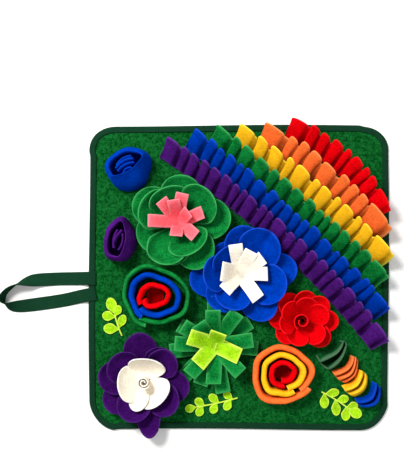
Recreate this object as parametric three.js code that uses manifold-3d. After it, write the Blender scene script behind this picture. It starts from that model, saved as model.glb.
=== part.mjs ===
// Snuffle mat: a square fleece mat with a bound edge and a carry strap, covered with felt ruffles,
// flowers, rolled roses, buds, pockets and leaf sprigs in which treats are hidden.
// Millimetres, +Z up. The origin is the centre of the mat's underside, which lies at z = 0.
import * as THREE from 'three';
import { mergeVertices } from 'three/addons/utils/BufferGeometryUtils.js';
import Module from 'manifold-3d';

const wasm = await Module();
wasm.setup();

// Driving dimensions
const MAT_HALF_X = 246;
const MAT_HALF_Y = 250;
const CORNER_RADIUS = 45;
const PANEL_THICKNESS = 3;
const BINDING_WIDTH = 11;
const BINDING_THICKNESS = 1.2;
const EDGE_WAVE = 1.5;
const GAP = 0.4;
const FELT = 2.2;
const FELT_FOLDED = 1.8;
const WEBBING_WIDTH = 22;
const WEBBING_THICKNESS = 1.5;
const RUFFLE_WIDTH = 45;
const RUFFLE_LEAN = 45;
const RUFFLE_AMPLITUDE = 7;
const RUFFLE_SWING = 0.185;
const SPRIG_THICKNESS = 1.6;
const RIM_LIFT = 1.5;

const FELT_BED = PANEL_THICKNESS + GAP;
const LAYER_ONE = FELT_BED + FELT / 2;
const LAYER_STEP = FELT + 1;
const BINDING_TOP = RIM_LIFT + 3.3;
const STRAP_BED = BINDING_TOP + GAP;

// Finishes: colour and roughness of each cloth
const CLOTH = {
  fleece: [0x167330, 1],
  binding: [0x14462a, 0.8],
  purple: [0x4f1977, 1],
  blue: [0x0041be, 1],
  green: [0x16873c, 1],
  bottle: [0x0c5a2c, 1],
  yellow: [0xffc82d, 1],
  orange: [0xff803e, 1],
  red: [0xe40a12, 1],
  pink: [0xfa7882, 1],
  cream: [0xfaf2e4, 1],
  lime: [0x96cd1e, 1],
};

const mat = new THREE.Group();
const UP = new THREE.Vector3(0, 0, 1);

// Vector and angle helpers
const radians = (degrees) => degrees * Math.PI / 180;
const point = (x, y, z) => new THREE.Vector3(x, y, z);
const heading = (angle) => point(Math.cos(angle), Math.sin(angle), 0);
const smooth = (x) => x * x * (3 - 2 * x);

// Adds one closed body as a named mesh in its cloth.
function addPiece(name, cloth, geometry) {
  const [color, roughness] = CLOTH[cloth];
  const material = new THREE.MeshStandardMaterial({ color, roughness, metalness: 0 });
  const mesh = new THREE.Mesh(geometry, material);
  mesh.name = name;
  mat.add(mesh);
}

// Merges shared vertices, drops collapsed triangles and makes the faces point outwards.
function closeBody(geometry) {
  geometry.deleteAttribute('normal');
  geometry.deleteAttribute('uv');
  const merged = mergeVertices(geometry, 1e-3);
  const spots = merged.attributes.position;
  const corners = [0, 1, 2].map(() => new THREE.Vector3());
  const kept = [];
  let volume = 0;
  for (let i = 0; i < merged.index.count; i += 3) {
    const ids = [0, 1, 2].map((k) => merged.index.getX(i + k));
    if (new Set(ids).size === 3) {
      kept.push(...ids);
      corners.forEach((corner, k) => corner.fromBufferAttribute(spots, ids[k]));
      volume += corners[0].dot(corners[1].clone().cross(corners[2]));
    }
  }
  if (volume < 0) {
    kept.reverse();
  }
  merged.setIndex(kept);
  return merged;
}

// Normal of a surface function at (u, v), from its slopes.
const SLOPE_STEP = 1e-3;
function surfaceNormal(surface, u, v) {
  const alongU = surface(u + SLOPE_STEP, v).sub(surface(u - SLOPE_STEP, v));
  const alongV = surface(u, v + SLOPE_STEP).sub(surface(u, v - SLOPE_STEP));
  return alongU.cross(alongV).normalize();
}

// Mitre of a sharp fold along v: it halves the angle between the legs and keeps them thick enough.
const SHARPEST_MITRE = 0.45;
function foldMitre(surface, u, v) {
  const alongU = surface(u + SLOPE_STEP, v).sub(surface(u - SLOPE_STEP, v));
  const legNormal = (from, to) => (
    alongU.clone().cross(surface(u, to).sub(surface(u, from))).normalize());
  const before = legNormal(v - SLOPE_STEP, v);
  const after = legNormal(v, v + SLOPE_STEP);
  const mitre = before.clone().add(after).normalize();
  return mitre.divideScalar(Math.max(mitre.dot(before), mitre.dot(after), SHARPEST_MITRE));
}

// Splits one four-sided cell of a grid's index along its other diagonal. Cells of an underside are
// turned this way to split as those above them do, so that a twisted sheet keeps its thickness.
const CELL = 6;
function turnDiagonal(index, first) {
  const ids = Array.from({ length: CELL }, (_, k) => index.getX(first + k));
  const [a, b, d] = ids;
  const c = ids.slice(3).find((id) => id !== b && id !== d);
  [a, b, c, a, c, d].forEach((id, k) => index.setX(first + k, id));
}

// A sheet of cloth: a flat grid of nu by nv cells bent onto surface(u, v), with its thickness.
const UNDERSIDE = 5;
function sheet(surface, nu, nv, thickness, normalOf = surfaceNormal) {
  const grid = new THREE.BoxGeometry(1, 1, 1, nu, nv, 1);
  const spots = grid.attributes.position;
  for (let i = 0; i < spots.count; i += 1) {
    const u = spots.getX(i) + 0.5;
    const v = spots.getY(i) + 0.5;
    const lift = normalOf(surface, u, v).multiplyScalar(spots.getZ(i) * thickness);
    const spot = surface(u, v).add(lift);
    spots.setXYZ(i, spot.x, spot.y, spot.z);
  }
  const { start, count } = grid.groups[UNDERSIDE];
  for (let first = start; first < start + count; first += CELL) {
    turnDiagonal(grid.index, first);
  }
  return closeBody(grid);
}

// A body of revolution re-laid: place(station, ring) gives the spot of each profile point. Cells from
// the ring `under` on belong to an underside.
function turned(stations, rings, place, under = rings) {
  const profile = Array.from({ length: rings }, (_, ring) => new THREE.Vector2(ring, ring));
  const lathe = new THREE.LatheGeometry(profile, stations);
  const spots = lathe.attributes.position;
  for (let i = 0; i < spots.count; i += 1) {
    const spot = place(Math.floor(i / rings) % stations, i % rings);
    spots.setXYZ(i, spot.x, spot.y, spot.z);
  }
  for (let cell = 0; cell < stations * (rings - 1); cell += 1) {
    if (cell % (rings - 1) >= under) {
      turnDiagonal(lathe.index, cell * CELL);
    }
  }
  return closeBody(lathe);
}

// ---- Mat panel, binding and strap ----

// Stations round the mat's edge: four sides and four round corners, with a slight waviness.
const EDGE = [];
const SIDE_STEPS = 3;
const CORNER_STEPS = 5;
function edgeStation(corner, turn, slide) {
  const [sx, sy] = corner;
  const out = heading(turn);
  const cx = sx * (MAT_HALF_X - CORNER_RADIUS) + slide.x;
  const cy = sy * (MAT_HALF_Y - CORNER_RADIUS) + slide.y;
  const wave = EDGE_WAVE * Math.sin(3 * turn + (slide.x - slide.y) / 90);
  EDGE.push({ spot: point(cx, cy, 0).addScaledVector(out, CORNER_RADIUS + wave), out });
}
const CORNERS = [[1, 1], [-1, 1], [-1, -1], [1, -1]];
CORNERS.forEach((corner, index) => {
  for (let step = 0; step <= CORNER_STEPS; step += 1) {
    edgeStation(corner, radians(90 * (index + step / CORNER_STEPS)), point(0, 0, 0));
  }
  const along = heading(radians(90 * index + 180));
  const half = index % 2 === 0 ? MAT_HALF_X : MAT_HALF_Y;
  for (let step = 1; step < SIDE_STEPS; step += 1) {
    const slide = along.clone().multiplyScalar((half - CORNER_RADIUS) * 2 * step / SIDE_STEPS);
    edgeStation(corner, radians(90 * (index + 1)), slide);
  }
});

// Panel section: flat underside, a rim squeezed between the legs of the binding, flat top.
const PANEL_SECTION = [
  [null, PANEL_THICKNESS], [-BINDING_WIDTH - 4, PANEL_THICKNESS], [-1.7, BINDING_TOP - 1.6],
  [-1.7, RIM_LIFT + 0.1], [-BINDING_WIDTH - 1, RIM_LIFT + 0.1], [-BINDING_WIDTH - 2.5, 0], [null, 0],
];
function onEdge(station, [inset, z]) {
  if (inset === null) {
    return point(0, 0, z);
  }
  return EDGE[station].spot.clone().addScaledVector(EDGE[station].out, inset).setZ(z);
}
addPiece('mat_panel', 'fleece', turned(EDGE.length, PANEL_SECTION.length,
  (station, ring) => onEdge(station, PANEL_SECTION[ring])));

// Binding section: a U of tape that takes the rim between its legs.
const BINDING_SECTION = [
  [-BINDING_WIDTH, 0], [0, 0], [0, BINDING_TOP], [-BINDING_WIDTH, BINDING_TOP],
  [-BINDING_WIDTH, BINDING_TOP - BINDING_THICKNESS],
  [-BINDING_THICKNESS, BINDING_TOP - BINDING_THICKNESS],
  [-BINDING_THICKNESS, BINDING_THICKNESS], [-BINDING_WIDTH, BINDING_THICKNESS],
];
const closedSection = [...BINDING_SECTION, BINDING_SECTION[0]];
addPiece('edge_binding', 'binding', turned(EDGE.length, closedSection.length,
  (station, ring) => onEdge(station, closedSection[ring])));

// Strap route: x, y of the centre line, height of the lower edge, and roll in degrees.
const STRAP_ROUTE = [
  [-235, -1.5, STRAP_BED, 0], [-247, -1.5, STRAP_BED, 0], [-262, -1.8, 1.5, 0],
  [-298, -2.5, 0, 0], [-330, -4, 0, 12], [-348, -6.2, 0, 45], [-362, -10, 0, 80],
  [-375, -17.5, 0, 96], [-384.5, -27, 0, 100], [-387, -35, 0, 102], [-384, -42.5, 0, 82],
  [-374, -47.6, 0, 48], [-358, -47.2, 0, 22], [-327, -43.4, 0, 4], [-290, -37.8, 0, 0],
  [-262, -31.6, 1.5, 0], [-247, -28.6, STRAP_BED, 0], [-235, -26.4, STRAP_BED, 0],
];
const STRAP_STEPS = 30;
const strapLine = new THREE.CatmullRomCurve3(STRAP_ROUTE.map(([x, y, z]) => point(x, y, z)));
const strapTurn = new THREE.CatmullRomCurve3(STRAP_ROUTE.map(([, , , roll]) => point(roll, 0, 0)));
function strapSurface(u, v) {
  const at = Math.min(Math.max(u, 0), 1);
  const spot = strapLine.getPoint(at);
  const roll = radians(Math.max(strapTurn.getPoint(at).x, 0));
  const across = strapLine.getTangent(at).cross(UP).normalize();
  const sideways = across.multiplyScalar(-Math.cos(roll)).addScaledVector(UP, Math.sin(roll));
  const half = WEBBING_WIDTH / 2;
  const rest = half * Math.sin(roll) + Math.abs(Math.cos(roll)) * WEBBING_THICKNESS / 2;
  const floor = Math.max(spot.z, 0) + rest;
  return spot.setZ(floor).addScaledVector(sideways, (v - 0.5) * WEBBING_WIDTH);
}
addPiece('carry_strap', 'binding', sheet(strapSurface, STRAP_STEPS, 1, WEBBING_THICKNESS));

// ---- Ruffles ----

// Sewn edge of each strip: start and end, how far it bows out, and its number of pleats.
const RUFFLES = [
  ['purple', [-131, 197], [217, -120], 20, 22],
  ['blue', [-89, 212], [222, -71], 7.5, 20],
  ['green', [-53, 218], [221, -21], 4, 15],
  ['yellow', [-14, 218], [228, 13], 8, 12],
  ['orange', [28, 219], [223, 57], 11, 9],
  ['red', [73, 225], [217, 94], 18, 9],
];
const PLEAT_CORNERS = 4;
const SEWN_OPENING = 0.2;
function ruffleSurface(start, end, bow, pleats) {
  const from = point(...start, 0);
  const to = point(...end, 0);
  const pitch = from.distanceTo(to) / pleats;
  const side = UP.clone().cross(to.clone().sub(from)).normalize();
  const middle = from.clone().add(to).multiplyScalar(0.5).addScaledVector(side, 2 * bow);
  const line = new THREE.QuadraticBezierCurve3(from, middle, to);
  const lean = radians(RUFFLE_LEAN);
  return (u, v) => {
    const wave = 2 * Math.PI * pleats * u + Math.PI / 4;
    const open = SEWN_OPENING + (1 - SEWN_OPENING) * v;
    const at = Math.min(Math.max(u, 0), 1);
    const along = line.getTangent(at);
    const out = UP.clone().cross(along);
    const slope = out.clone().multiplyScalar(Math.cos(lean)).addScaledVector(UP, Math.sin(lean));
    const face = out.multiplyScalar(-Math.sin(lean)).addScaledVector(UP, Math.cos(lean));
    const shift = -RUFFLE_SWING * pitch * open * Math.sin(2 * wave);
    return line.getPoint(at)
      .addScaledVector(UP, LAYER_ONE + SEWN_OPENING * RUFFLE_AMPLITUDE)
      .addScaledVector(along, shift + (u - at) * pitch * pleats)
      .addScaledVector(slope, v * RUFFLE_WIDTH)
      .addScaledVector(face, RUFFLE_AMPLITUDE * open * Math.sin(wave));
  };
}
RUFFLES.forEach(([cloth, start, end, bow, pleats]) => {
  const surface = ruffleSurface(start, end, bow, pleats);
  addPiece(`ruffle_${cloth}`, cloth, sheet(surface, pleats * PLEAT_CORNERS, 1, FELT));
});

// ---- Flowers ----

// One cut layer with petals or strips round a flat hub. Each petal is
// [heading in degrees, reach, height of its tip above the layer]. Columns of a petal run across it.
const SHARES = [0, 0.5, 1];
const HUB_RIM = 3;
const HUB_LIFT = 0.3;
const PETAL_SPACE = 1.5;
const WIDEST_SHARE = 60;
const PETAL_CURL = 1.4;
const LEAN_OUT = { perHeight: 1 / 60, most: 0.6 };
const SHOULDER = 0.75;
function flowerLayer({ centre, base, hub, width, petals, columns, cup = 0, round = 0.35 }) {
  const sorted = [...petals].sort((a, b) => a[0] - b[0]);
  const stations = [];
  sorted.forEach((petal, index) => {
    const before = sorted[(index + sorted.length - 1) % sorted.length];
    const next = sorted[(index + 1) % sorted.length];
    const room = (a, b) => ((b[0] - a[0] + 360) % 360) / 2;
    const left = room(before, petal);
    const right = room(petal, next);
    stations.push({ turn: petal[0] - left, across: 0, petal: null });
    columns.forEach((across) => {
      const share = across < 0 ? left : right;
      stations.push({ turn: petal[0] + share * across * SHOULDER, across, share, petal });
    });
  });
  const notchReach = hub + HUB_RIM;
  const rim = ({ turn, across, share, petal }) => {
    if (!petal) {
      return heading(radians(turn)).multiplyScalar(notchReach).setZ(HUB_LIFT);
    }
    const [angle, reach, lift] = petal;
    const along = reach * (1 - round * across * across);
    const roomy = along * Math.tan(radians(Math.min(share, WIDEST_SHARE))) - PETAL_SPACE;
    const half = Math.min(width / 2, roomy);
    const forward = heading(radians(angle));
    const sideways = heading(radians(angle + 90));
    return forward.multiplyScalar(along).addScaledVector(sideways, half * across)
      .setZ(lift * (along / reach) + cup * across * across);
  };
  const middle = (station, share) => {
    const inner = heading(radians(station.turn)).multiplyScalar(hub);
    const outer = rim(station);
    const rise = outer.z;
    return inner.lerp(outer, share).setZ(rise * share ** PETAL_CURL);
  };
  const half = FELT / 2;
  return turned(stations.length, 2 * SHARES.length + 2, (index, ring) => {
    const top = ring <= SHARES.length;
    const step = top ? ring : 2 * SHARES.length + 1 - ring;
    const side = top ? half : -half;
    if (step === 0) {
      return point(centre[0], centre[1], base + side);
    }
    const station = stations[index];
    const spot = middle(station, SHARES[step - 1]);
    const height = Math.max(rim(station).z, 0);
    const leanOut = step === 1 ? 0 : Math.min(height * LEAN_OUT.perHeight, LEAN_OUT.most);
    const inward = heading(radians(station.turn)).multiplyScalar(-side * leanOut);
    return spot.add(inward).add(point(centre[0], centre[1], base + side));
  }, SHARES.length + 1);
}
const PETAL = [-1, -0.4, 0.4, 1];
const SMALL_PETAL = [-1, 0, 1];
const STRIP = [-1, 1];

const GREEN_AT = [-99, 91];
addPiece('green_flower_lower', 'green', flowerLayer({
  centre: GREEN_AT, base: LAYER_ONE, hub: 14, width: 66, columns: PETAL, cup: 3,
  petals: [[5, 89, 15], [83, 78, 16], [150, 83, 10], [208, 74, 9], [253, 70, 8], [301, 89, 17]],
}));
addPiece('green_flower_upper', 'green', flowerLayer({
  centre: GREEN_AT, base: LAYER_ONE + LAYER_STEP, hub: 14, width: 68, columns: PETAL, cup: 2,
  petals: [[38, 74, 32], [110, 60, 30], [152, 68, 32], [245, 76, 30], [298, 60, 30]],
}));

const BLUE_AT = [1.5, 5];
addPiece('blue_flower_lower', 'blue', flowerLayer({
  centre: BLUE_AT, base: LAYER_ONE, hub: 14, width: 60, columns: PETAL, cup: 2,
  petals: [[6, 96, 13], [83, 82, 20], [133, 64, 8], [188, 84, 5], [232, 70, 18], [305, 90, 19]],
}));
addPiece('blue_flower_upper', 'blue', flowerLayer({
  centre: BLUE_AT, base: LAYER_ONE + LAYER_STEP, hub: 14, width: 56, columns: PETAL, cup: 2,
  petals: [[52, 88, 34], [125, 50, 24], [178, 66, 22], [252, 62, 26], [340, 80, 30]],
}));

const RED_AT = [104, -71];
addPiece('red_flower_lower', 'red', flowerLayer({
  centre: RED_AT, base: LAYER_ONE, hub: 12, width: 48, columns: SMALL_PETAL, cup: 2,
  petals: [[5, 58, 14], [65, 50, 14], [125, 52, 14], [185, 60, 15], [232, 36, 8], [292, 50, 9]],
}));
addPiece('red_flower_upper', 'red', flowerLayer({
  centre: RED_AT, base: LAYER_ONE + LAYER_STEP, hub: 12, width: 44, columns: SMALL_PETAL, cup: 2,
  petals: [[40, 42, 26], [112, 40, 27], [185, 42, 27], [262, 40, 26], [325, 42, 26]],
}));

const PURPLE_AT = [-153, -169];
addPiece('purple_flower_lower', 'purple', flowerLayer({
  centre: PURPLE_AT, base: LAYER_ONE, hub: 14, width: 54, columns: PETAL, cup: 2,
  petals: [[350, 76, 14], [50, 62, 10], [98, 82, 14], [172, 78, 14], [213, 79, 12], [276, 94, 20]],
}));
addPiece('purple_flower_upper', 'purple', flowerLayer({
  centre: PURPLE_AT, base: LAYER_ONE + LAYER_STEP, hub: 14, width: 52, columns: PETAL, cup: 2,
  petals: [[46, 70, 30], [146, 68, 26], [246, 70, 26], [317, 70, 26]],
}));
addPiece('cream_petals', 'cream', flowerLayer({
  centre: PURPLE_AT, base: LAYER_ONE + 2 * LAYER_STEP, hub: 12, width: 46, columns: SMALL_PETAL, cup: 2,
  petals: [[80, 42, 22], [190, 46, 22], [252, 52, 18], [300, 48, 22]],
}));

const FRINGE_AT = [-40, -110];
addPiece('fringe_lower', 'green', flowerLayer({
  centre: FRINGE_AT, base: LAYER_ONE, hub: 18, width: 24, columns: STRIP, round: 0,
  petals: [[355, 72, 7], [32, 70, 6], [72, 60, 4], [112, 62, 5], [150, 66, 7], [188, 74, 5],
    [226, 78, 5], [268, 80, 9], [312, 64, 7]],
}));
addPiece('fringe_upper', 'green', flowerLayer({
  centre: FRINGE_AT, base: LAYER_ONE + LAYER_STEP, hub: 18, width: 24, columns: STRIP, round: 0,
  petals: [[10, 62, 24], [52, 60, 24], [95, 52, 26], [132, 58, 27], [172, 64, 24], [215, 62, 24],
    [252, 66, 24], [292, 62, 24], [332, 58, 26]],
}));

// Tufts: short cut strips that stand up and fold outwards over the middle of a flower.
function tuft(name, cloth, centre, layers, width, strips, hub) {
  addPiece(name, cloth, flowerLayer({
    centre, base: LAYER_ONE + layers * LAYER_STEP, hub, width, columns: STRIP, round: 0,
    petals: strips,
  }));
}
tuft('pink_tuft', 'pink', GREEN_AT, 2, 20, [
  [8, 42, 24], [50, 38, 27], [78, 30, 30], [118, 38, 25], [168, 40, 24], [225, 30, 28],
  [268, 34, 26], [318, 38, 25],
], 10);
tuft('cream_tuft', 'cream', BLUE_AT, 2, 22, [
  [2, 46, 24], [52, 42, 27], [98, 44, 27], [160, 36, 27], [212, 38, 27], [255, 34, 28],
  [308, 48, 22],
], 10);
tuft('lime_tuft', 'lime', FRINGE_AT, 2, 24, [
  [15, 38, 22], [120, 30, 24], [165, 36, 22], [262, 36, 22],
], 10);

// ---- Rolled pieces ----

// A strip folded lengthwise and wound once round, fold up: an upside-down U along an oval line.
// The oval is [centre x, y, long radius, short radius, heading of the long radius].
const FOLD_SPANS = 3;
const TAIL_SHARE = 0.28;
const OVAL_DENT = 0.03;
function rolledStrip({ oval, start, turn, tail, height, spread, base = FELT_BED, flare = 0 }) {
  const [cx, cy, long, short, tilt] = oval;
  const axis = heading(radians(tilt));
  const cross = heading(radians(tilt + 90));
  const ring = (u) => {
    const angle = radians(start + turn * u - tilt);
    const grow = 1 + tail * smooth(Math.min(Math.max((u - 1 + TAIL_SHARE) / TAIL_SHARE, 0), 1));
    const dent = 1 + OVAL_DENT * Math.sin(3 * angle + cx);
    return point(cx, cy, 0).addScaledVector(axis, long * grow * dent * Math.cos(angle))
      .addScaledVector(cross, short * grow * dent * Math.sin(angle));
  };
  const section = (v) => {
    const leg = Math.min(v, 1 - v) * FOLD_SPANS;
    const upright = Math.min(leg, 1);
    const sideways = (0.5 - v) * FOLD_SPANS;
    const half = spread / 2;
    return [half * Math.min(Math.max(2 * sideways, -1), 1), upright];
  };
  return (u, v) => {
    const at = ring(u);
    const along = ring(u + 1e-3).sub(ring(u - 1e-3)).normalize();
    const out = along.cross(UP);
    const [sideways, upright] = section(v);
    const bottom = base + FELT_FOLDED / 2;
    const top = height - FELT_FOLDED / 2;
    return at.addScaledVector(out, sideways + flare * upright)
      .setZ(bottom + (top - bottom) * upright);
  };
}
function addRolled(name, cloth, steps, shape) {
  addPiece(name, cloth, sheet(rolledStrip(shape), steps, FOLD_SPANS, FELT_FOLDED));
}
addRolled('rose_green', 'green', 18, {
  oval: [-135, -29, 50, 42, -20], start: 235, turn: 354, tail: 0.14, height: 31, spread: 7, flare: 3,
});
addRolled('rose_blue', 'blue', 16, {
  oval: [-136.5, -29.5, 36, 29, -18], start: 222, turn: 352, tail: 0.05, height: 36, spread: 6.5, flare: 2,
});
addRolled('rose_red', 'red', 14, {
  oval: [-137, -29.5, 21, 15.5, 0], start: 185, turn: 350, tail: 0.1, height: 33, spread: 6.5, flare: 1,
});
addRolled('sunset_orange', 'orange', 18, {
  oval: [70, -157, 44, 41, 20], start: 305, turn: 354, tail: 0.12, height: 30, spread: 7, flare: 3,
});
addRolled('sunset_yellow', 'yellow', 16, {
  oval: [70.5, -156, 31, 28, 30], start: 262, turn: 352, tail: 0.07, height: 34, spread: 6.5, flare: 2,
});
addRolled('sunset_red', 'red', 12, {
  oval: [70.5, -155, 19.5, 16, 30], start: 230, turn: 348, tail: 0.02, height: 31, spread: 6, flare: 1,
});

// A narrow strip rolled up tight: a flat spiral that stands on its edge.
function spiralRoll({ centre, inner, outer, turns, bottom, height, start = 0 }) {
  return (u, v) => {
    const angle = radians(start) + 2 * Math.PI * turns * u;
    const radius = inner + (outer - inner) * u;
    return heading(angle).multiplyScalar(radius).add(point(...centre, bottom + height * v));
  };
}
addPiece('cream_roll', 'cream', sheet(spiralRoll({
  centre: PURPLE_AT, inner: 2.5, outer: 9.5, turns: 1.9, bottom: LAYER_ONE + 3 * LAYER_STEP, height: 22,
}), 20, 1, FELT_FOLDED));
addPiece('red_flower_bud', 'red', sheet(spiralRoll({
  centre: RED_AT, inner: 4, outer: 10, turns: 1.4, bottom: LAYER_ONE + 2 * LAYER_STEP, height: 22,
  start: 120,
}), 16, 1, FELT_FOLDED));

// ---- Buds ----

// A cup of felt with a round foot and a narrower oval mouth.
// foot and mouth are [centre x, y, long radius, short radius, heading].
const CUP_STATIONS = 14;
function budCup(foot, mouth, height) {
  const oval = ([cx, cy, long, short, tilt], angle, inset, z) => {
    const axis = heading(radians(tilt));
    const cross = heading(radians(tilt + 90));
    return point(cx, cy, z).addScaledVector(axis, (long - inset) * Math.cos(angle))
      .addScaledVector(cross, (short - inset) * Math.sin(angle));
  };
  const floor = FELT_BED;
  const levels = [
    () => point(foot[0], foot[1], floor + FELT),
    (angle) => oval(foot, angle, FELT + 1, floor + FELT),
    (angle) => oval(mouth, angle, FELT, height),
    (angle) => oval(mouth, angle, 0, height),
    (angle) => oval(foot, angle, 0, floor + 3),
    (angle) => oval(foot, angle, 2, floor),
    () => point(foot[0], foot[1], floor),
  ];
  return turned(CUP_STATIONS, levels.length, (station, ring) => (
    levels[ring](radians(mouth[4]) + 2 * Math.PI * station / CUP_STATIONS)
  ));
}
// The folded strip inside a bud: a wavy wall from one end of the mouth to the other.
function budFold(centre, tilt, length, swing, bottom, height) {
  const axis = heading(radians(tilt));
  const cross = heading(radians(tilt + 90));
  return (u, v) => point(...centre, bottom + height * v)
    .addScaledVector(axis, length * (u - 0.5))
    .addScaledVector(cross, swing * Math.sin(2 * Math.PI * u));
}
const BLUE_BUD = [-179, 177];
addPiece('bud_blue_cup', 'blue', budCup([...BLUE_BUD, 37, 35, 30], [-181, 180, 31, 21, 30], 43));
addPiece('bud_blue_fold', 'blue', sheet(
  budFold([-182, 181.5], 30, 34, 6, FELT_BED + FELT + GAP, 32), 8, 1, FELT_FOLDED));
const PURPLE_BUD = [-194, 61];
addPiece('bud_purple_cup', 'purple', budCup([...PURPLE_BUD, 36, 26, 84], [-193, 60, 31, 19, 80], 43));
addPiece('bud_purple_fold', 'purple', sheet(
  budFold([-192, 59], 66, 32, 6, FELT_BED + FELT + GAP, 30), 8, 1, FELT_FOLDED));

// ---- Pockets ----

// A round of felt folded back and forth into standing waves with a bent crest line.
// Crests are [place across, height], from the side that faces the mat's middle outwards.
const POCKET_SPACE = 0.3;
const END_DROP = 0.35;
function pocket({ centre, tilt, length, bend, crests }) {
  const axis = heading(radians(tilt));
  const cross = heading(radians(tilt - 90));
  const bottom = FELT_BED + FELT_FOLDED / 2 + POCKET_SPACE;
  return (u, v) => {
    const place = Math.min(Math.max(v, 0), 1) * (crests.length - 1);
    const index = Math.min(Math.floor(place), crests.length - 2);
    const share = place - index;
    const [x0, z0] = crests[index];
    const [x1, z1] = crests[index + 1];
    const ends = 1 - END_DROP * (2 * u - 1) ** 2;
    const height = (z0 + (z1 - z0) * share) * ends;
    const across = x0 + (x1 - x0) * share - bend * (2 * u - 1) ** 2;
    return point(...centre, bottom + height).addScaledVector(axis, length * (u - 0.5))
      .addScaledVector(cross, across);
  };
}
const POCKETS = [
  ['green', { centre: [160, -131], tilt: 38, length: 42, bend: 7,
    crests: [[-16, 0], [-8.3, 20], [-2, 4.5], [4.3, 20], [12, 0]] }],
  ['orange', { centre: [180, -152], tilt: 42, length: 42, bend: 5,
    crests: [[-14, 0], [-10, 20], [-3.4, 2.6], [3.2, 18], [6.2, 4], [9.8, 14], [13, 0]] }],
  ['yellow', { centre: [195, -175], tilt: 40, length: 42, bend: 4,
    crests: [[-12, 0], [-6.3, 18], [-1, 3.5], [4.3, 16], [12, 0]] }],
  ['blue', { centre: [214, -197], tilt: 44, length: 44, bend: 6,
    crests: [[-9, 0], [-4.3, 17], [1, 3.5], [6.3, 14], [12, 0]] }],
];
POCKETS.forEach(([cloth, shape]) => {
  const folds = shape.crests.length - 1;
  const felt = cloth === 'green' ? 'bottle' : cloth;
  addPiece(`pocket_${cloth}`, felt, sheet(pocket(shape), 4, folds, FELT_FOLDED, foldMitre));
});

// ---- Sprigs ----

// A stem with leaves, cut in one piece. Leaves are [place on the stem, side, heading, length, width].
const LEAF_SHAPE = [[-0.02, -0.1], [0.4, -0.42], [0.75, -0.5], [0.97, -0.25], [0.97, 0.25], [0.75, 0.5],
  [0.4, 0.42], [-0.02, 0.1]];
const STEM_HALF = 1.3;

// A flat piece of felt with this outline, as a solid for joining.
function cutFelt(outline) {
  const shape = new THREE.Shape(outline.map((spot) => new THREE.Vector2(spot.x, spot.y)));
  const felt = new THREE.ExtrudeGeometry(shape, { depth: SPRIG_THICKNESS, bevelEnabled: false });
  const { attributes, index } = closeBody(felt.translate(0, 0, FELT_BED));
  return new wasm.Manifold(new wasm.Mesh({
    numProp: 3, vertProperties: attributes.position.array, triVerts: new Uint32Array(index.array),
  }));
}
function leaf(root, turn, length, width) {
  const forward = heading(turn);
  const side = heading(turn + Math.PI / 2);
  return cutFelt(LEAF_SHAPE.map(([a, b]) => root.clone().addScaledVector(forward, a * length)
    .addScaledVector(side, b * width)));
}
function sprig({ from, to, leaves }) {
  const start = point(...from, 0);
  const axis = point(...to, 0).sub(start);
  const turn = Math.atan2(axis.y, axis.x);
  const side = heading(turn + Math.PI / 2).multiplyScalar(STEM_HALF);
  const along = (share) => start.clone().addScaledVector(axis, share);
  const stem = cutFelt([along(0).sub(side), along(1).sub(side), along(1).add(side), along(0).add(side)]);
  const joined = leaves.reduce((felt, [share, flank, open, length, width]) => (
    felt.add(leaf(along(share), turn + flank * radians(open), length, width))), stem);
  const { vertProperties, triVerts } = joined.getMesh();
  const geometry = new THREE.BufferGeometry();
  geometry.setAttribute('position', new THREE.BufferAttribute(vertProperties, 3));
  geometry.setIndex(new THREE.BufferAttribute(triVerts, 1));
  return geometry;
}
const SPRIGS = [
  ['sprig_left', { from: [-192, -96], to: [-204, -60], leaves: [
    [0.3, 1, 66, 26, 15], [0.36, -1, 42, 24, 12], [0.86, 1, 62, 22, 14], [0.9, -1, 40, 19, 12],
    [1, 0, 0, 28, 15],
  ] }],
  ['sprig_bottom', { from: [-2, -198], to: [-70, -213], leaves: [
    [0.12, -1, 50, 19, 11], [0.16, 1, 46, 20, 12], [0.45, -1, 50, 21, 12], [0.5, 1, 48, 19, 12],
    [0.8, -1, 46, 19, 12], [0.84, 1, 48, 19, 12], [1, 0, 0, 19, 12],
  ] }],
  ['sprig_right', { from: [136, -188], to: [180, -215], leaves: [
    [0.1, -1, 58, 25, 13], [0.14, 1, 40, 23, 12], [0.5, -1, 54, 27, 13], [0.56, 1, 44, 20, 12],
    [0.92, -1, 62, 23, 13], [0.94, 1, 42, 19, 12], [1, 0, 0, 25, 15],
  ] }],
];
SPRIGS.forEach(([name, shape]) => addPiece(name, 'lime', sprig(shape)));

export default mat;
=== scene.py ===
"""The snuffle mat's cloth: fleece panel, bound edge, strap, ruffles, flowers, roses, buds, pockets, sprigs.

Tables and helper functions are in millimetres. MM turns them into Blender's metres when a mesh is made.
"""
import math
import random

import bmesh
import bpy
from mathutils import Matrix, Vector, noise


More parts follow.
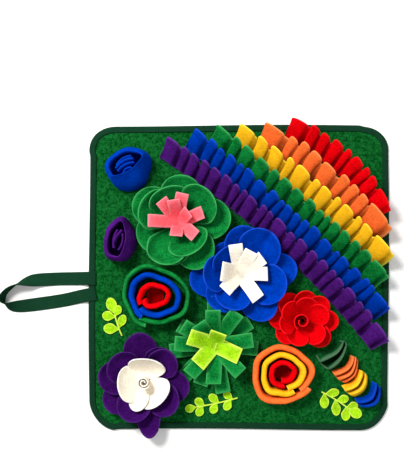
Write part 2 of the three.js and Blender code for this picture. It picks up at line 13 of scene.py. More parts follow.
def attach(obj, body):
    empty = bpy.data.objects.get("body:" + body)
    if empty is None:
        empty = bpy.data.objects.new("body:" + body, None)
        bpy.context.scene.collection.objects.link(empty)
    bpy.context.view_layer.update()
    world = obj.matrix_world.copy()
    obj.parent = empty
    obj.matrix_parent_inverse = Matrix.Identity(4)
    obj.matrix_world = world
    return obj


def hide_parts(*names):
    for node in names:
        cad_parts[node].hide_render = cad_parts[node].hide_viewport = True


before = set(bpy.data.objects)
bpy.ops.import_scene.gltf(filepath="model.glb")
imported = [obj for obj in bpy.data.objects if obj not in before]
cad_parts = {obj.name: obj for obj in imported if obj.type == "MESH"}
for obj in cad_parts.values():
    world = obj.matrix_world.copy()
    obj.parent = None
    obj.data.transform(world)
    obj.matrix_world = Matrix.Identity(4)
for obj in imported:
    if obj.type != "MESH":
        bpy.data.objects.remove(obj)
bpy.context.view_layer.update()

bl_info = {
    "name": "Snuffle Mat",
    "version": (1, 0, 0),
    "blender": (4, 5, 0),
    "location": "View3D > Sidebar > Snuffle Mat",
    "description": "Builds the cloth pieces of a felt and fleece snuffle mat",
    "category": "Object",
}

MM = 0.001
BODY = "root"
UP = Vector((0, 0, 1))

# Heights above the surface that the mat lies on
FELT_BED = 3.4
LAYER_ONE = 4.5
LAYER_STEP = 3.2
BINDING_TOP = 4.8
STRAP_BED = 5.2


# ---- Settings ----

def length(name, description, default):
    return bpy.props.FloatProperty(name=name, description=description, default=default, min=0, unit="LENGTH",
                                   precision=4)


def colour(name, description, default):
    return bpy.props.FloatVectorProperty(name=name, description=description, default=default, size=3,
                                         min=0, max=1, subtype="COLOR")


class MatSizes(bpy.types.PropertyGroup):
    """Sizes of the stock and of the sewing."""
    felt: length("Felt", "Thickness of the petals and ruffles", 0.0021)
    folded_felt: length("Folded felt", "Thickness of the felt in rolled and folded pieces", 0.0018)
    binding_width: length("Binding", "Width of the binding on the top of the mat", 0.011)
    tape: length("Tape", "Thickness of the binding", 0.0012)
    webbing_width: length("Webbing width", "Width of the carry strap", 0.022)
    webbing: length("Webbing", "Thickness of the carry strap", 0.0015)
    ruffle_width: length("Ruffle width", "Width of the pleated strips", 0.045)
    pleat_depth: length("Pleat depth", "How far a pleat stands above the valley beside it", 0.0165)
    sprig: length("Sprig felt", "Thickness of the leaf sprigs", 0.0016)
    stitch: length("Stitch", "Length of one sewing stitch", 0.003)
    thread: length("Thread", "Thickness of the sewing thread", 0.0005)
    pile: length("Pile", "Height of the fleece's uneven pile", 0.0009)


class MatColours(bpy.types.PropertyGroup):
    """Colours of the cloths."""
    fleece: colour("Fleece", "Base of the mat", (0.002, 0.092, 0.014))
    binding: colour("Binding", "Edge tape and carry strap", (0.005, 0.040, 0.017))
    purple: colour("Purple felt", "Ruffle and bud", (0.060, 0.008, 0.150))
    violet: colour("Dark purple felt", "Large flower at the corner", (0.036, 0.004, 0.092))
    blue: colour("Blue felt", "Ruffle, flower, bud and pocket", (0.000, 0.038, 0.380))
    green: colour("Green felt", "Ruffle, flowers and rose", (0.004, 0.170, 0.030))
    bottle: colour("Dark green felt", "Pocket", (0.003, 0.070, 0.015))
    yellow: colour("Yellow felt", "Ruffle, rose and pocket", (1.000, 0.500, 0.012))
    orange: colour("Orange felt", "Ruffle, rose and pocket", (0.930, 0.160, 0.030))
    red: colour("Red felt", "Ruffle, flower and roses", (0.720, 0.001, 0.004))
    pink: colour("Pink felt", "Tuft of the green flower", (0.860, 0.125, 0.155))
    cream: colour("Cream felt", "Tuft of the blue flower and petals of the purple one", (0.900, 0.830, 0.700))
    lime: colour("Lime felt", "Sprigs and tuft of the fringed flower", (0.330, 0.640, 0.010))


# ---- Shader node groups ----

def link_chain(tree, *pairs):
    for source, target in pairs:
        tree.links.new(source, target)


def new_group(name, inputs, outputs):
    """A shader node group with its sockets: inputs are (name, type, default), outputs are (name, type)."""
    group = bpy.data.node_groups.new(name, "ShaderNodeTree")
    for label, kind, default in inputs:
        socket = group.interface.new_socket(label, in_out="INPUT", socket_type=kind)
        socket.default_value = default
    for label, kind in outputs:
        group.interface.new_socket(label, in_out="OUTPUT", socket_type=kind)
    return group, group.nodes.new("NodeGroupInput"), group.nodes.new("NodeGroupOutput")


def noise_node(tree, vector, scale, detail=3, roughness=0.6):
    node = tree.nodes.new("ShaderNodeTexNoise")
    node.inputs["Scale"].default_value = scale
    node.inputs["Detail"].default_value = detail
    node.inputs["Roughness"].default_value = roughness
    tree.links.new(vector, node.inputs["Vector"])
    return node.outputs["Fac"]


def ranged(tree, value, low, high, to_low=0.0, to_high=1.0):
    node = tree.nodes.new("ShaderNodeMapRange")
    for name, number in (("From Min", low), ("From Max", high), ("To Min", to_low), ("To Max", to_high)):
        node.inputs[name].default_value = number
    tree.links.new(value, node.inputs["Value"])
    return node.outputs["Result"]


def maths(tree, operation, a, b):
    node = tree.nodes.new("ShaderNodeMath")
    node.operation = operation
    for socket, value in zip(node.inputs, (a, b)):
        if isinstance(value, (int, float)):
            socket.default_value = value
        else:
            tree.links.new(value, socket)
    return node.outputs["Value"]


def mixed(tree, factor, a, b, blend="MIX"):
    node = tree.nodes.new("ShaderNodeMix")
    node.data_type = "RGBA"
    node.blend_type = blend
    first, second = (socket for socket in node.inputs if socket.type == "RGBA")
    for socket, value in ((node.inputs["Factor"], factor), (first, a), (second, b)):
        if isinstance(value, (int, float, tuple)):
            socket.default_value = value
        else:
            tree.links.new(value, socket)
    return node.outputs[2]


def scaled_vector(tree, vector, x, y, z):
    node = tree.nodes.new("ShaderNodeMapping")
    node.inputs["Scale"].default_value = (x, y, z)
    tree.links.new(vector, node.inputs["Vector"])
    return node.outputs["Vector"]


# Share of the felt's colour left under the fullest painted shade
FOLD_SHADE = 0.22


def felt_group():
    """Felt: short matted fibres, faint blotches, painted highlights on cut edges and fold tops, painted shade
    in folds.
    """
    group, inp, out = new_group("felt_fibres", [
        ("Vector", "NodeSocketVector", (0, 0, 0)),
        ("Colour", "NodeSocketColor", (0.5, 0.5, 0.5, 1)),
        ("Edge Colour", "NodeSocketColor", (0.8, 0.8, 0.8, 1)),
        ("Edge", "NodeSocketFloat", 0.0),
        ("Edge Amount", "NodeSocketFloat", 0.5),
        ("Mottle", "NodeSocketFloat", 0.2),
        ("Fold", "NodeSocketFloat", 0.0),
    ], [("Colour", "NodeSocketColor"), ("Roughness", "NodeSocketFloat"), ("Height", "NodeSocketFloat")])
    vector = inp.outputs["Vector"]
    blotches = noise_node(group, vector, 48, 2)
    fibres = noise_node(group, vector, 330, 5, 0.75)
    strands = noise_node(group, scaled_vector(group, vector, 1, 0.22, 1), 560, 3, 0.6)
    crossed = noise_node(group, scaled_vector(group, vector, 0.2, 1, 0.6), 500, 3, 0.6)
    felted = maths(group, "ADD", maths(group, "MULTIPLY", fibres, 0.5),
                   maths(group, "ADD", maths(group, "MULTIPLY", strands, 0.25),
                         maths(group, "MULTIPLY", crossed, 0.25)))
    shade = maths(group, "ADD", ranged(group, blotches, 0.36, 0.64, -0.5, 0.5),
                  ranged(group, felted, 0.42, 0.58, -1.0, 1.0))
    shade = maths(group, "ADD", maths(group, "MULTIPLY", shade, inp.outputs["Mottle"]), 1.0)
    # Painted shade: darker where the mask marks deep folds, pleat gaps, hubs and feet
    shade = maths(group, "MULTIPLY", shade, ranged(group, inp.outputs["Fold"], 0.0, 1.0, 1.0, FOLD_SHADE))
    toned = group.nodes.new("ShaderNodeVectorMath")
    toned.operation = "SCALE"
    link_chain(group, (inp.outputs["Colour"], toned.inputs[0]), (shade, toned.inputs["Scale"]))
    # Painted highlight: the paler edge colour mixed in along cut edges and fold tops
    rim = maths(group, "POWER", inp.outputs["Edge"], 1.3)
    rim = maths(group, "MULTIPLY", rim, inp.outputs["Edge Amount"])
    final = mixed(group, rim, toned.outputs["Vector"], inp.outputs["Edge Colour"])
    link_chain(group, (final, out.inputs["Colour"]),
               (ranged(group, felted, 0.35, 0.65, 0.98, 0.82), out.inputs["Roughness"]),
               (maths(group, "ADD", felted, maths(group, "MULTIPLY", blotches, 0.6)), out.inputs["Height"]))
    return group


def fleece_group():
    """Brushed fleece: soft clumps of pile, with painted shade in the hollows and painted highlights on the
    tips.
    """
    group, inp, out = new_group("fleece_pile", [
        ("Vector", "NodeSocketVector", (0, 0, 0)),
        ("Colour", "NodeSocketColor", (0.1, 0.5, 0.2, 1)),
    ], [("Colour", "NodeSocketColor"), ("Roughness", "NodeSocketFloat"), ("Height", "NodeSocketFloat")])
    vector = inp.outputs["Vector"]
    brushed = noise_node(group, scaled_vector(group, vector, 1, 0.6, 1), 14, 3)
    clumps = noise_node(group, vector, 210, 4, 0.8)
    hairs = noise_node(group, scaled_vector(group, vector, 1, 0.4, 1), 700, 3, 0.7)
    pile = maths(group, "ADD", maths(group, "MULTIPLY", clumps, 0.75), maths(group, "MULTIPLY", hairs, 0.25))
    # Painted shade in the pile's hollows, painted highlight on its tips
    lit_tips = ranged(group, pile, 0.43, 0.57)
    dark = mixed(group, 1.0, inp.outputs["Colour"], (0.42, 0.55, 0.48, 1), "MULTIPLY")
    pale = mixed(group, 1.0, inp.outputs["Colour"], (0.006, 0.050, 0.012, 1), "ADD")
    tone = mixed(group, lit_tips, dark, pale)
    broad = mixed(group, ranged(group, brushed, 0.38, 0.62, 0.0, 0.35), tone,
                  mixed(group, 1.0, tone, (0.62, 0.72, 0.66, 1), "MULTIPLY"))
    link_chain(group, (broad, out.inputs["Colour"]),
               (ranged(group, pile, 0.3, 0.7, 1.0, 0.86), out.inputs["Roughness"]),
               (pile, out.inputs["Height"]))
    return group


def weave_group():
    """Flat woven tape: ribs across it and fine warp threads along it, from a UV map in metres."""
    group, inp, out = new_group("tape_weave", [
        ("UV", "NodeSocketVector", (0, 0, 0)),
        ("Colour", "NodeSocketColor", (0.1, 0.3, 0.2, 1)),
        ("Ribs", "NodeSocketFloat", 900.0),
    ], [("Colour", "NodeSocketColor"), ("Roughness", "NodeSocketFloat"), ("Height", "NodeSocketFloat")])
    split = group.nodes.new("ShaderNodeSeparateXYZ")
    group.links.new(inp.outputs["UV"], split.inputs["Vector"])
    along, across = split.outputs["X"], split.outputs["Y"]

    def wave(value):
        turned = maths(group, "MULTIPLY", value, inp.outputs["Ribs"])
        return ranged(group, maths(group, "SINE", maths(group, "MULTIPLY", turned, 2 * math.pi), 0.0), -1, 1)
    ribs = wave(maths(group, "ADD", along, maths(group, "MULTIPLY", across, 0.5)))
    warp = wave(maths(group, "MULTIPLY", across, 1.4))
    woven = maths(group, "MULTIPLY", ribs, maths(group, "ADD", maths(group, "MULTIPLY", warp, 0.5), 0.5))
    dusty = noise_node(group, inp.outputs["UV"], 120, 3)
    dark = mixed(group, 1.0, inp.outputs["Colour"], (0.45, 0.5, 0.48, 1), "MULTIPLY")
    pale = mixed(group, 1.0, inp.outputs["Colour"], (0.008, 0.022, 0.014, 1), "ADD")
    tone = mixed(group, woven, dark, pale)
    faded = mixed(group, ranged(group, dusty, 0.4, 0.7, 0.0, 0.25), tone, pale)
    link_chain(group, (faded, out.inputs["Colour"]),
               (ranged(group, woven, 0.0, 1.0, 0.9, 0.68), out.inputs["Roughness"]),
               (woven, out.inputs["Height"]))
    return group


# ---- Materials ----

SHEEN = 0.01
SHEEN_ROUGHNESS = 0.4
TAPE_RIBS = 420.0


def cloth_material(name, group, values, tint, bump, bump_distance, vector_source):
    """A cloth material: one of the node groups, its values, and a soft sheen set on the shader itself."""
    material = bpy.data.materials.new(f"cloth_{name}")
    material.use_nodes = True
    tree = material.node_tree
    shader = tree.nodes["Principled BSDF"]
    effect = tree.nodes.new("ShaderNodeGroup")
    effect.node_tree = group
    for label, value in values.items():
        effect.inputs[label].default_value = value
    place = tree.nodes.new("ShaderNodeTexCoord")
    vector_name, vector_input = vector_source
    tree.links.new(place.outputs[vector_name], effect.inputs[vector_input])
    # Masks for the painted highlights on cut edges and fold tops, and for the painted shade
    for label, attribute in (("Edge", "cut_edge"), ("Fold", "deep_fold")):
        if label in effect.inputs:
            marked = tree.nodes.new("ShaderNodeAttribute")
            marked.attribute_name = attribute
            tree.links.new(marked.outputs["Fac"], effect.inputs[label])
    relief = tree.nodes.new("ShaderNodeBump")
    relief.inputs["Strength"].default_value = bump
    relief.inputs["Distance"].default_value = bump_distance
    link_chain(tree, (effect.outputs["Colour"], shader.inputs["Base Color"]),
               (effect.outputs["Roughness"], shader.inputs["Roughness"]),
               (effect.outputs["Height"], relief.inputs["Height"]),
               (relief.outputs["Normal"], shader.inputs["Normal"]))
    shader.inputs["Specular IOR Level"].default_value = 0.0
    shader.inputs["Sheen Weight"].default_value = SHEEN
    shader.inputs["Sheen Roughness"].default_value = SHEEN_ROUGHNESS
    shader.inputs["Sheen Tint"].default_value = (*tint, 1)
    return material


def paler(base, share):
    """The colour moved towards white by a share."""
    return tuple(channel + (1 - channel) * share for channel in base)


# Each felt's share of white in its painted edge highlight, how strong that highlight is, and how mottled the
# felt is
FELT_EDGE_HIGHLIGHTS = {
    "purple": (0.030, 0.60, 0.32), "violet": (0.020, 0.50, 0.30), "blue": (0.020, 0.50, 0.24),
    "green": (0.045, 0.85, 0.38), "bottle": (0.150, 1.00, 0.34), "yellow": (0.060, 0.50, 0.14),
    "orange": (0.080, 0.55, 0.18), "red": (0.015, 0.40, 0.22), "pink": (0.100, 0.60, 0.16),
    "cream": (0.100, 0.60, 0.09), "lime": (0.120, 0.90, 0.24),
}
# How much brighter the painted edge highlight is than the felt
EDGE_HIGHLIGHT_GAIN = 2.1


def edge_highlight_tone(base, white):
    """Painted highlight on a cut, where lit fibre ends look paler: a brighter form of the same colour."""
    return tuple(min(channel * EDGE_HIGHLIGHT_GAIN + white, 1.0) for channel in base)


def make_felt(name, group, base):
    white, amount, mottle = FELT_EDGE_HIGHLIGHTS[name]
    values = {"Colour": (*base, 1), "Edge Colour": (*edge_highlight_tone(base, white), 1), "Edge Amount": amount,
              "Mottle": mottle}
    return cloth_material(name, group, values, paler(base, 0.25), 0.9, 0.0016,
                          ("Object", "Vector"))


def make_materials(colours):
    felt = felt_group()
    made = {name: make_felt(name, felt, tuple(getattr(colours, name))) for name in FELT_EDGE_HIGHLIGHTS}
    fleece = tuple(colours.fleece)
    made["fleece"] = cloth_material("fleece", fleece_group(), {"Colour": (*fleece, 1)},
                                    paler(fleece, 0.2), 1.0, 0.003, ("Object", "Vector"))
    tape = tuple(colours.binding)
    made["binding"] = cloth_material("binding", weave_group(), {"Colour": (*tape, 1), "Ribs": TAPE_RIBS},
                                     paler(tape, 0.2), 0.6, 0.0006, ("UV", "UV"))
    return made


def cloth(name):
    return bpy.data.materials[f"cloth_{name}"]


# ---- Mesh helpers ----

def smooth(x):
    x = min(max(x, 0.0), 1.0)
    return x * x * (3 - 2 * x)


def heading(degrees):
    return Vector((math.cos(math.radians(degrees)), math.sin(math.radians(degrees)), 0))


def blend_line(start, end, share):
    return start + (end - start) * share


def finer_at_ends(x):
    """Crowds the grid lines of a sheet towards both of its edges, where cut felt needs them."""
    s = 2 * x - 1
    return (s * (1.3 - 0.3 * s * s) + 1) / 2


def lay_sheet(bm, across, along, surface, crowd_across=True, fold=None):
    """Adds a flat grid and lays it on surface(u, v), in millimetres, with u and v from 0 to 1.

    fold(u, v), if given, gives each point's painted shade, from 0 to 1, for how deep in a fold it lies.
    """
    # Mask for the painted shade
    folds = bm.verts.layers.float.get("deep_fold") or bm.verts.layers.float.new("deep_fold")
    laid = bmesh.ops.create_grid(bm, x_segments=across, y_segments=along, size=0.5)["verts"]
    uvs = bm.loops.layers.uv.verify()
    places = {}
    for vert in laid:
        u, v = vert.co.x + 0.5, vert.co.y + 0.5
        places[vert] = (finer_at_ends(u) if crowd_across else u, finer_at_ends(v))
    for vert in laid:
        vert.co = surface(*places[vert]) * MM
        vert[folds] = fold(*places[vert]) if fold else 0.0
        for loop in vert.link_loops:
            loop[uvs].uv = places[vert]
    return laid


def scale_uvs(bm, width, height):
    """Turns UVs that run from 0 to 1 into metres."""
    uvs = bm.loops.layers.uv.verify()
    for face in bm.faces:
        for loop in face.loops:
            loop[uvs].uv = (loop[uvs].uv.x * width, loop[uvs].uv.y * height)


# Painted highlight: share on the row beside a cut edge; on fold tops, its strength and the height it rises
# over
EDGE_HIGHLIGHT_FADE = 0.35
TOP_HIGHLIGHT = 0.50
TOP_HIGHLIGHT_RISE = 3.5


def mark_painted_highlights(bm, highlight_from):
    """Marks each sheet's cut edge, fading over the next row of its grid, and fold tops above a height:
    painted highlights.
    """
    layer = bm.verts.layers.float.new("cut_edge")
    for vert in bm.verts:
        beside = any(edge.other_vert(vert).is_boundary for edge in vert.link_edges)
        # Painted highlight on fold tops, growing above the given height
        top_highlight = TOP_HIGHLIGHT * smooth((vert.co.z / MM - highlight_from) / TOP_HIGHLIGHT_RISE) if highlight_from else 0.0
        vert[layer] = 1.0 if vert.is_boundary else max(EDGE_HIGHLIGHT_FADE * beside, top_highlight)


def finish_piece(bm, name, cloth_name, thickness=0.0, crease=0.35, levels=1, highlight_from=None):
    """Makes the object at the origin and gives the sheet its thickness and a soft surface."""
    mark_painted_highlights(bm, highlight_from)
    for face in bm.faces:
        face.smooth = True
    mesh = bpy.data.meshes.new(name)
    bm.to_mesh(mesh)
    bm.free()
    mesh.materials.append(cloth(cloth_name))
    piece = bpy.data.objects.new(name, mesh)
    bpy.context.scene.collection.objects.link(piece)
    if thickness:
        wall = piece.modifiers.new("thickness", "SOLIDIFY")
        wall.thickness = thickness
        wall.offset = 0
        wall.edge_crease_rim = crease
    if levels:
        soft = piece.modifiers.new("soft", "SUBSURF")
        soft.levels = levels
        soft.render_levels = levels
    return piece


def register_sheet(piece, node):
    """Rides the piece on the mat and hides the CAD node that it stands for."""
    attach(piece, BODY)
    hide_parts(node)


def catmull(points, share):
    """A point on a smooth line through the points, with share from 0 to 1. Points may have any length."""
    last = len(points) - 1
    place = min(max(share, 0.0), 1.0) * last
    index = min(int(place), last - 1)
    t = place - index
    a, b, c, d = (points[min(max(index + k, 0), last)] for k in (-1, 0, 1, 2))
    return [0.5 * (2 * q + (r - p) * t + (2 * p - 5 * q + 4 * r - s) * t * t
                   + (3 * q - p - 3 * r + s) * t ** 3)
            for p, q, r, s in zip(a, b, c, d)]


# ---- Panel, binding and strap ----

CORNER_RADIUS = 45.0
EDGE_WAVE = 1.5
MAT_HALF_X = 246.0
MAT_HALF_Y = 250.0


def outline_point(share):
    """A point on the mat's edge and its outward heading; share runs once round, from the lower right."""
    side_x = 2 * (MAT_HALF_X - CORNER_RADIUS)
    side_y = 2 * (MAT_HALF_Y - CORNER_RADIUS)
    arc = math.pi / 2 * CORNER_RADIUS
    place = (share % 1.0) * outline_length()
    corners = ((1, 1, side_y), (-1, 1, side_x), (-1, -1, side_y), (1, -1, side_x))
    for index, (sx, sy, side) in enumerate(corners):
        centre = Vector((sx * (MAT_HALF_X - CORNER_RADIUS), sy * (MAT_HALF_Y - CORNER_RADIUS), 0))
        if place <= side + arc:
            break
        place -= side + arc
    slide = heading(90 * index + 90) * min(place - side, 0)
    out = heading(90 * index + 90 * max(place - side, 0) / arc)
    angle = math.radians(90 * index + 90 * max(place - side, 0) / arc)
    wave = EDGE_WAVE * math.sin(3 * angle + (slide.x - slide.y) / 90)
    return centre + slide + out * (CORNER_RADIUS + wave), out


def outline_length():
    return 4 * (MAT_HALF_X + MAT_HALF_Y) - (8 - 2 * math.pi) * CORNER_RADIUS


def rounded_place(x, y):
    """Moves a point of the square -1..1 onto the round-cornered mat, as shares of its half sides."""
    reach = max(abs(x), abs(y))
    if reach < 1e-6:
        return 0.0, 0.0
    ex, ey = x / reach * MAT_HALF_X, y / reach * MAT_HALF_Y
    over_x = abs(ex) - (MAT_HALF_X - CORNER_RADIUS)
    over_y = abs(ey) - (MAT_HALF_Y - CORNER_RADIUS)
    if over_x <= 0 or over_y <= 0:
        return x, y
    low, high = 0.5, 1.0
    for _ in range(18):
        middle = (low + high) / 2
        gap = Vector((abs(ex) * middle - (MAT_HALF_X - CORNER_RADIUS),
                      abs(ey) * middle - (MAT_HALF_Y - CORNER_RADIUS)))
        inside = gap.length < CORNER_RADIUS if min(gap) > 0 else True
        low, high = (middle, high) if inside else (low, middle)
    pull = 1 - (1 - low) * reach ** 3
    return x * pull, y * pull


PANEL_CELLS = 200
PANEL_MARGIN = 5.0
PANEL_UNDER_TAPE = 2.6
PANEL_FOOT = 0.05
RIM_WIDTH = 13
RIM_FOOT = 1.7


def panel_height(x, y, edge_gap, pile):
    """Top of the fleece: uneven pile and slight swells inside, squeezed flat under the binding."""
    spot = Vector((x, y, 0))
    nap = noise.fractal(spot / 6.5, 0.7, 2.2, 3)
    swell = noise.noise(spot / 60.0)
    inside = smooth((edge_gap - 2) / 9)
    return min(PANEL_UNDER_TAPE + inside * (0.2 + pile * nap + 0.4 * swell), FELT_BED - 0.2)


def build_panel(sizes):
    bm = bmesh.new()
    top = bmesh.ops.create_grid(bm, x_segments=PANEL_CELLS, y_segments=PANEL_CELLS, size=1.0)["verts"]
    pile = sizes.pile / MM
    for vert in top:
        reach = max(abs(vert.co.x), abs(vert.co.y))
        x, y = rounded_place(vert.co.x, vert.co.y)
        x, y = x * (MAT_HALF_X - PANEL_MARGIN), y * (MAT_HALF_Y - PANEL_MARGIN)
        edge_gap = (1 - reach) * MAT_HALF_X
        vert.co = Vector((x, y, panel_height(x, y, edge_gap, pile))) * MM
    skirt = bmesh.ops.extrude_face_region(bm, geom=bm.faces[:])["geom"]
    lower = [item for item in skirt if isinstance(item, bmesh.types.BMVert)]
    for vert in lower:
        rim = (abs(vert.co.x) > (MAT_HALF_X - RIM_WIDTH) * MM
               or abs(vert.co.y) > (MAT_HALF_Y - RIM_WIDTH) * MM)
        vert.co.z = (RIM_FOOT if rim else PANEL_FOOT) * MM
    bmesh.ops.recalc_face_normals(bm, faces=bm.faces[:])
    piece = finish_piece(bm, "mat_fleece", "fleece", levels=0)
    register_sheet(piece, "mat_panel")
    return piece


TAPE_CELLS = 420
TAPE_SPANS = 9
TAPE_BED = 0.6
TAPE_PUCKER = 0.25


def tape_spot(share, across, width):
    """The folded tape's middle: across runs from the lower leg round the mat's edge to the upper leg."""
    edge, out = outline_point(share)
    fold = (BINDING_TOP - 2 * TAPE_BED) / 2
    leg = width - fold
    walk = across * (2 * leg + math.pi * fold)
    pucker = TAPE_PUCKER * noise.noise(edge / 9.0) + TAPE_PUCKER * noise.noise(edge / 31.0)
    if walk < leg:
        inset, z = width - walk, TAPE_BED
    elif walk > leg + math.pi * fold:
        inset, z = fold + walk - leg - math.pi * fold, 2 * fold + TAPE_BED + pucker
    else:
        turn = (walk - leg) / fold
        inset, z = fold - fold * math.sin(turn), fold + TAPE_BED - fold * math.cos(turn)
    return edge - out * (inset - TAPE_BED) + UP * z


def build_binding(sizes):
    bm = bmesh.new()
    width = sizes.binding_width / MM
    lay_sheet(bm, TAPE_CELLS, TAPE_SPANS, lambda u, v: tape_spot(u, v, width),
              crowd_across=False)
    scale_uvs(bm, outline_length() * MM, 2.3 * sizes.binding_width)
    bmesh.ops.remove_doubles(bm, verts=bm.verts[:], dist=0.0002)
    piece = finish_piece(bm, "binding_tape", "binding", sizes.tape, crease=0.6)
    register_sheet(piece, "edge_binding")
    return piece


STITCH_INSET = 2.2
STITCH_PITCH = 1.3
STITCH_GAP = 0.25


def add_stitch(bm, middle, along, up, length, thickness):
    """One stitch: a short thread that dips into the cloth at both ends."""
    ring = bmesh.ops.create_cone(bm, segments=5, radius1=thickness / 2, radius2=thickness / 2, depth=length,
                                 cap_ends=True)["verts"]
    side = up.cross(along).normalized()
    for vert in ring:
        x, y, z = vert.co
        dip = -0.35 * thickness * (2 * z / length) ** 2
        vert.co = middle + along * z + side * x + up * (y + dip)


def run_stitches(bm, line, count, sizes):
    """Stitches along line(share), each a little shorter than its share of the line."""
    for index in range(count):
        start, end = (line((index + part) / count) for part in (STITCH_GAP / 2, 1 - STITCH_GAP / 2))
        along = (end - start)
        add_stitch(bm, (start + end) / 2 * MM, along.normalized(), UP, along.length * MM, sizes.thread)


def build_stitches(sizes):
    bm = bmesh.new()
    inset = sizes.binding_width / MM - STITCH_INSET
    count = int(outline_length() / (sizes.stitch / MM * STITCH_PITCH))

    def seam(share):
        edge, out = outline_point(share)
        return edge - out * inset + UP * (BINDING_TOP + 0.15)
    run_stitches(bm, seam, count, sizes)
    piece = finish_piece(bm, "binding_stitches", "binding", levels=0)
    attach(piece, BODY)
    return piece


# Strap route: x, y of the centre line, height of the lower edge, and roll in degrees
STRAP_ROUTE = [
    (-235, -1.5, STRAP_BED, 0), (-247, -1.5, STRAP_BED, 0), (-262, -1.8, 1.5, 0), (-298, -2.5, 0, 0),
    (-330, -4, 0, 12), (-348, -6.2, 0, 45), (-362, -10, 0, 80), (-375, -17.5, 0, 96),
    (-384.5, -27, 0, 100), (-387, -35, 0, 102), (-384, -42.5, 0, 82), (-374, -47.6, 0, 48),
    (-358, -47.2, 0, 22), (-327, -43.4, 0, 4), (-290, -37.8, 0, 0), (-262, -31.6, 1.5, 0),
    (-247, -28.6, STRAP_BED, 0), (-235, -26.4, STRAP_BED, 0),
]
STRAP_CELLS = 160
STRAP_LENGTH = 335.0


def strap_frame(share):
    """Centre of the strap's lower edge, its heading, its sideways direction and its roll."""
    x, y, z, roll = catmull(STRAP_ROUTE, share)
    x2, y2, _, _ = catmull(STRAP_ROUTE, min(share + 0.004, 1.0))
    x1, y1, _, _ = catmull(STRAP_ROUTE, max(share - 0.004, 0.0))
    along = Vector((x2 - x1, y2 - y1, 0)).normalized()
    roll = math.radians(max(roll, 0))
    side = -along.cross(UP) * math.cos(roll) + UP * math.sin(roll)
    return Vector((x, y, max(z, 0))), along, side, roll


def strap_spot(share, across, width, thickness):
    base, _, side, roll = strap_frame(share)
    rest = width / 2 * math.sin(roll) + abs(math.cos(roll)) * thickness / 2
    bow = 0.5 * math.sin(math.pi * across) * noise.noise(Vector((share * 9, 3, 0)))
    return base + UP * (rest + max(bow, 0)) + side * (across - 0.5) * width


def build_strap(sizes):
    bm = bmesh.new()
    width, thickness = sizes.webbing_width / MM, sizes.webbing / MM
    lay_sheet(bm, STRAP_CELLS, 8, lambda u, v: strap_spot(u, v, width, thickness),
              crowd_across=False)
    scale_uvs(bm, STRAP_LENGTH * MM, sizes.webbing_width)
    piece = finish_piece(bm, "strap_webbing", "binding", sizes.webbing, crease=0.5)
    register_sheet(piece, "carry_strap")
    return piece


# ---- Ruffles ----

# Cloth, start and end of the sewn edge, how far it bows out, and number of pleats
RUFFLES = [
    ("purple", (-131, 197), (217, -120), 20, 22),
    ("blue", (-89, 212), (222, -71), 7.5, 20),
    ("green", (-53, 218), (221, -21), 4, 15),
    ("yellow", (-14, 218), (228, 13), 8, 12),
    ("orange", (28, 219), (223, 57), 11, 9),
    ("red", (73, 225), (217, 94), 18, 9),
]
RUFFLE_LEAN = 45.0
PLEAT_CELLS = 18
PLEAT_OPENING = 0.22
LAST_PLEAT = 1.7
FIRST_PLEAT = 1.5
PLEAT_PUSH = (0.90, 0.42)
PLEAT_SWAY = 5.0
PLEAT_RAGGED = 5.0
END_PLEAT_DEPTH = 0.45

# One pleat at the free edge, from valley to valley: share of its width, and height as a share of its depth
PLEAT_PROFILE = [(0, 0), (0.06, 0.18), (-0.04, 0.60), (0.04, 0.96), (0.22, 1.0), (0.46, 0.87), (0.66, 0.66),
                 (0.75, 0.32), (0.80, 0.04), (1, 0)]


def bezier(start, control, end, share):
    """Point and heading of a bowed line."""
    spot = start * (1 - share) ** 2 + control * (2 * share * (1 - share)) + end * share ** 2
    along = (control - start) * (1 - share) + (end - control) * share
    return spot, along.normalized()


def pleat_shares(pleats, seed):
    """Where each pleat begins and how wide it is, as shares of the strip; the first and last are wider."""
    draw = random.Random(seed)
    widths = [FIRST_PLEAT] + [draw.uniform(0.62, 1.42) for _ in range(pleats - 2)] + [LAST_PLEAT]
    total = sum(widths)
    starts = [sum(widths[:index]) / total for index in range(pleats)]
    return [(start, width / total, draw.uniform(0.75, 1.15)) for start, width in zip(starts, widths)]


def ruffle_surface(start, end, bow, pleats, width, depth, seed):
    start, end = Vector((*start, 0)), Vector((*end, 0))
    side = UP.cross(end - start).normalized()
    control = (start + end) / 2 + side * 2 * bow
    lean = math.radians(RUFFLE_LEAN)
    shares = pleat_shares(pleats, seed)

    def spot(u, v):
        index = min(int(u * pleats), pleats - 1)
        begin, wide, fullness = shares[index]
        flatter = END_PLEAT_DEPTH if index in (0, pleats - 1) else 1.0
        t = u * pleats - index
        along_pleat, lift = catmull(PLEAT_PROFILE, t)
        opened = PLEAT_OPENING + (1 - PLEAT_OPENING) * v ** 0.8
        place, along = bezier(start, control, end, begin + wide * (t + (along_pleat - t) * opened))
        out = UP.cross(along)
        slope = out * math.cos(lean) + UP * math.sin(lean)
        push = UP * PLEAT_PUSH[0] + out * PLEAT_PUSH[1]
        height = depth * opened * fullness * flatter * (lift - 0.5)
        sway = PLEAT_SWAY * noise.noise(Vector((u * pleats * 0.6, v * 1.3, seed)))
        ragged = PLEAT_RAGGED * noise.noise(Vector((index * 1.7, seed + 5, 0)))
        return (place + UP * (LAYER_ONE + 0.5 * depth * PLEAT_OPENING) + along * (sway * v)
                + slope * v * (width + ragged) + push * (height + 0.5 * sway * v))
    return spot


def pleat_gap_shade(pleats):
    """Painted shade in the gap between two pleats, by how deep in it a point of the strip lies."""
    def fold(u, v):
        _, lift = catmull(PLEAT_PROFILE, u * pleats - min(int(u * pleats), pleats - 1))
        return smooth((0.95 - lift) / 0.75) * (0.55 + 0.45 * smooth(1.4 * (1 - v)))
    return fold


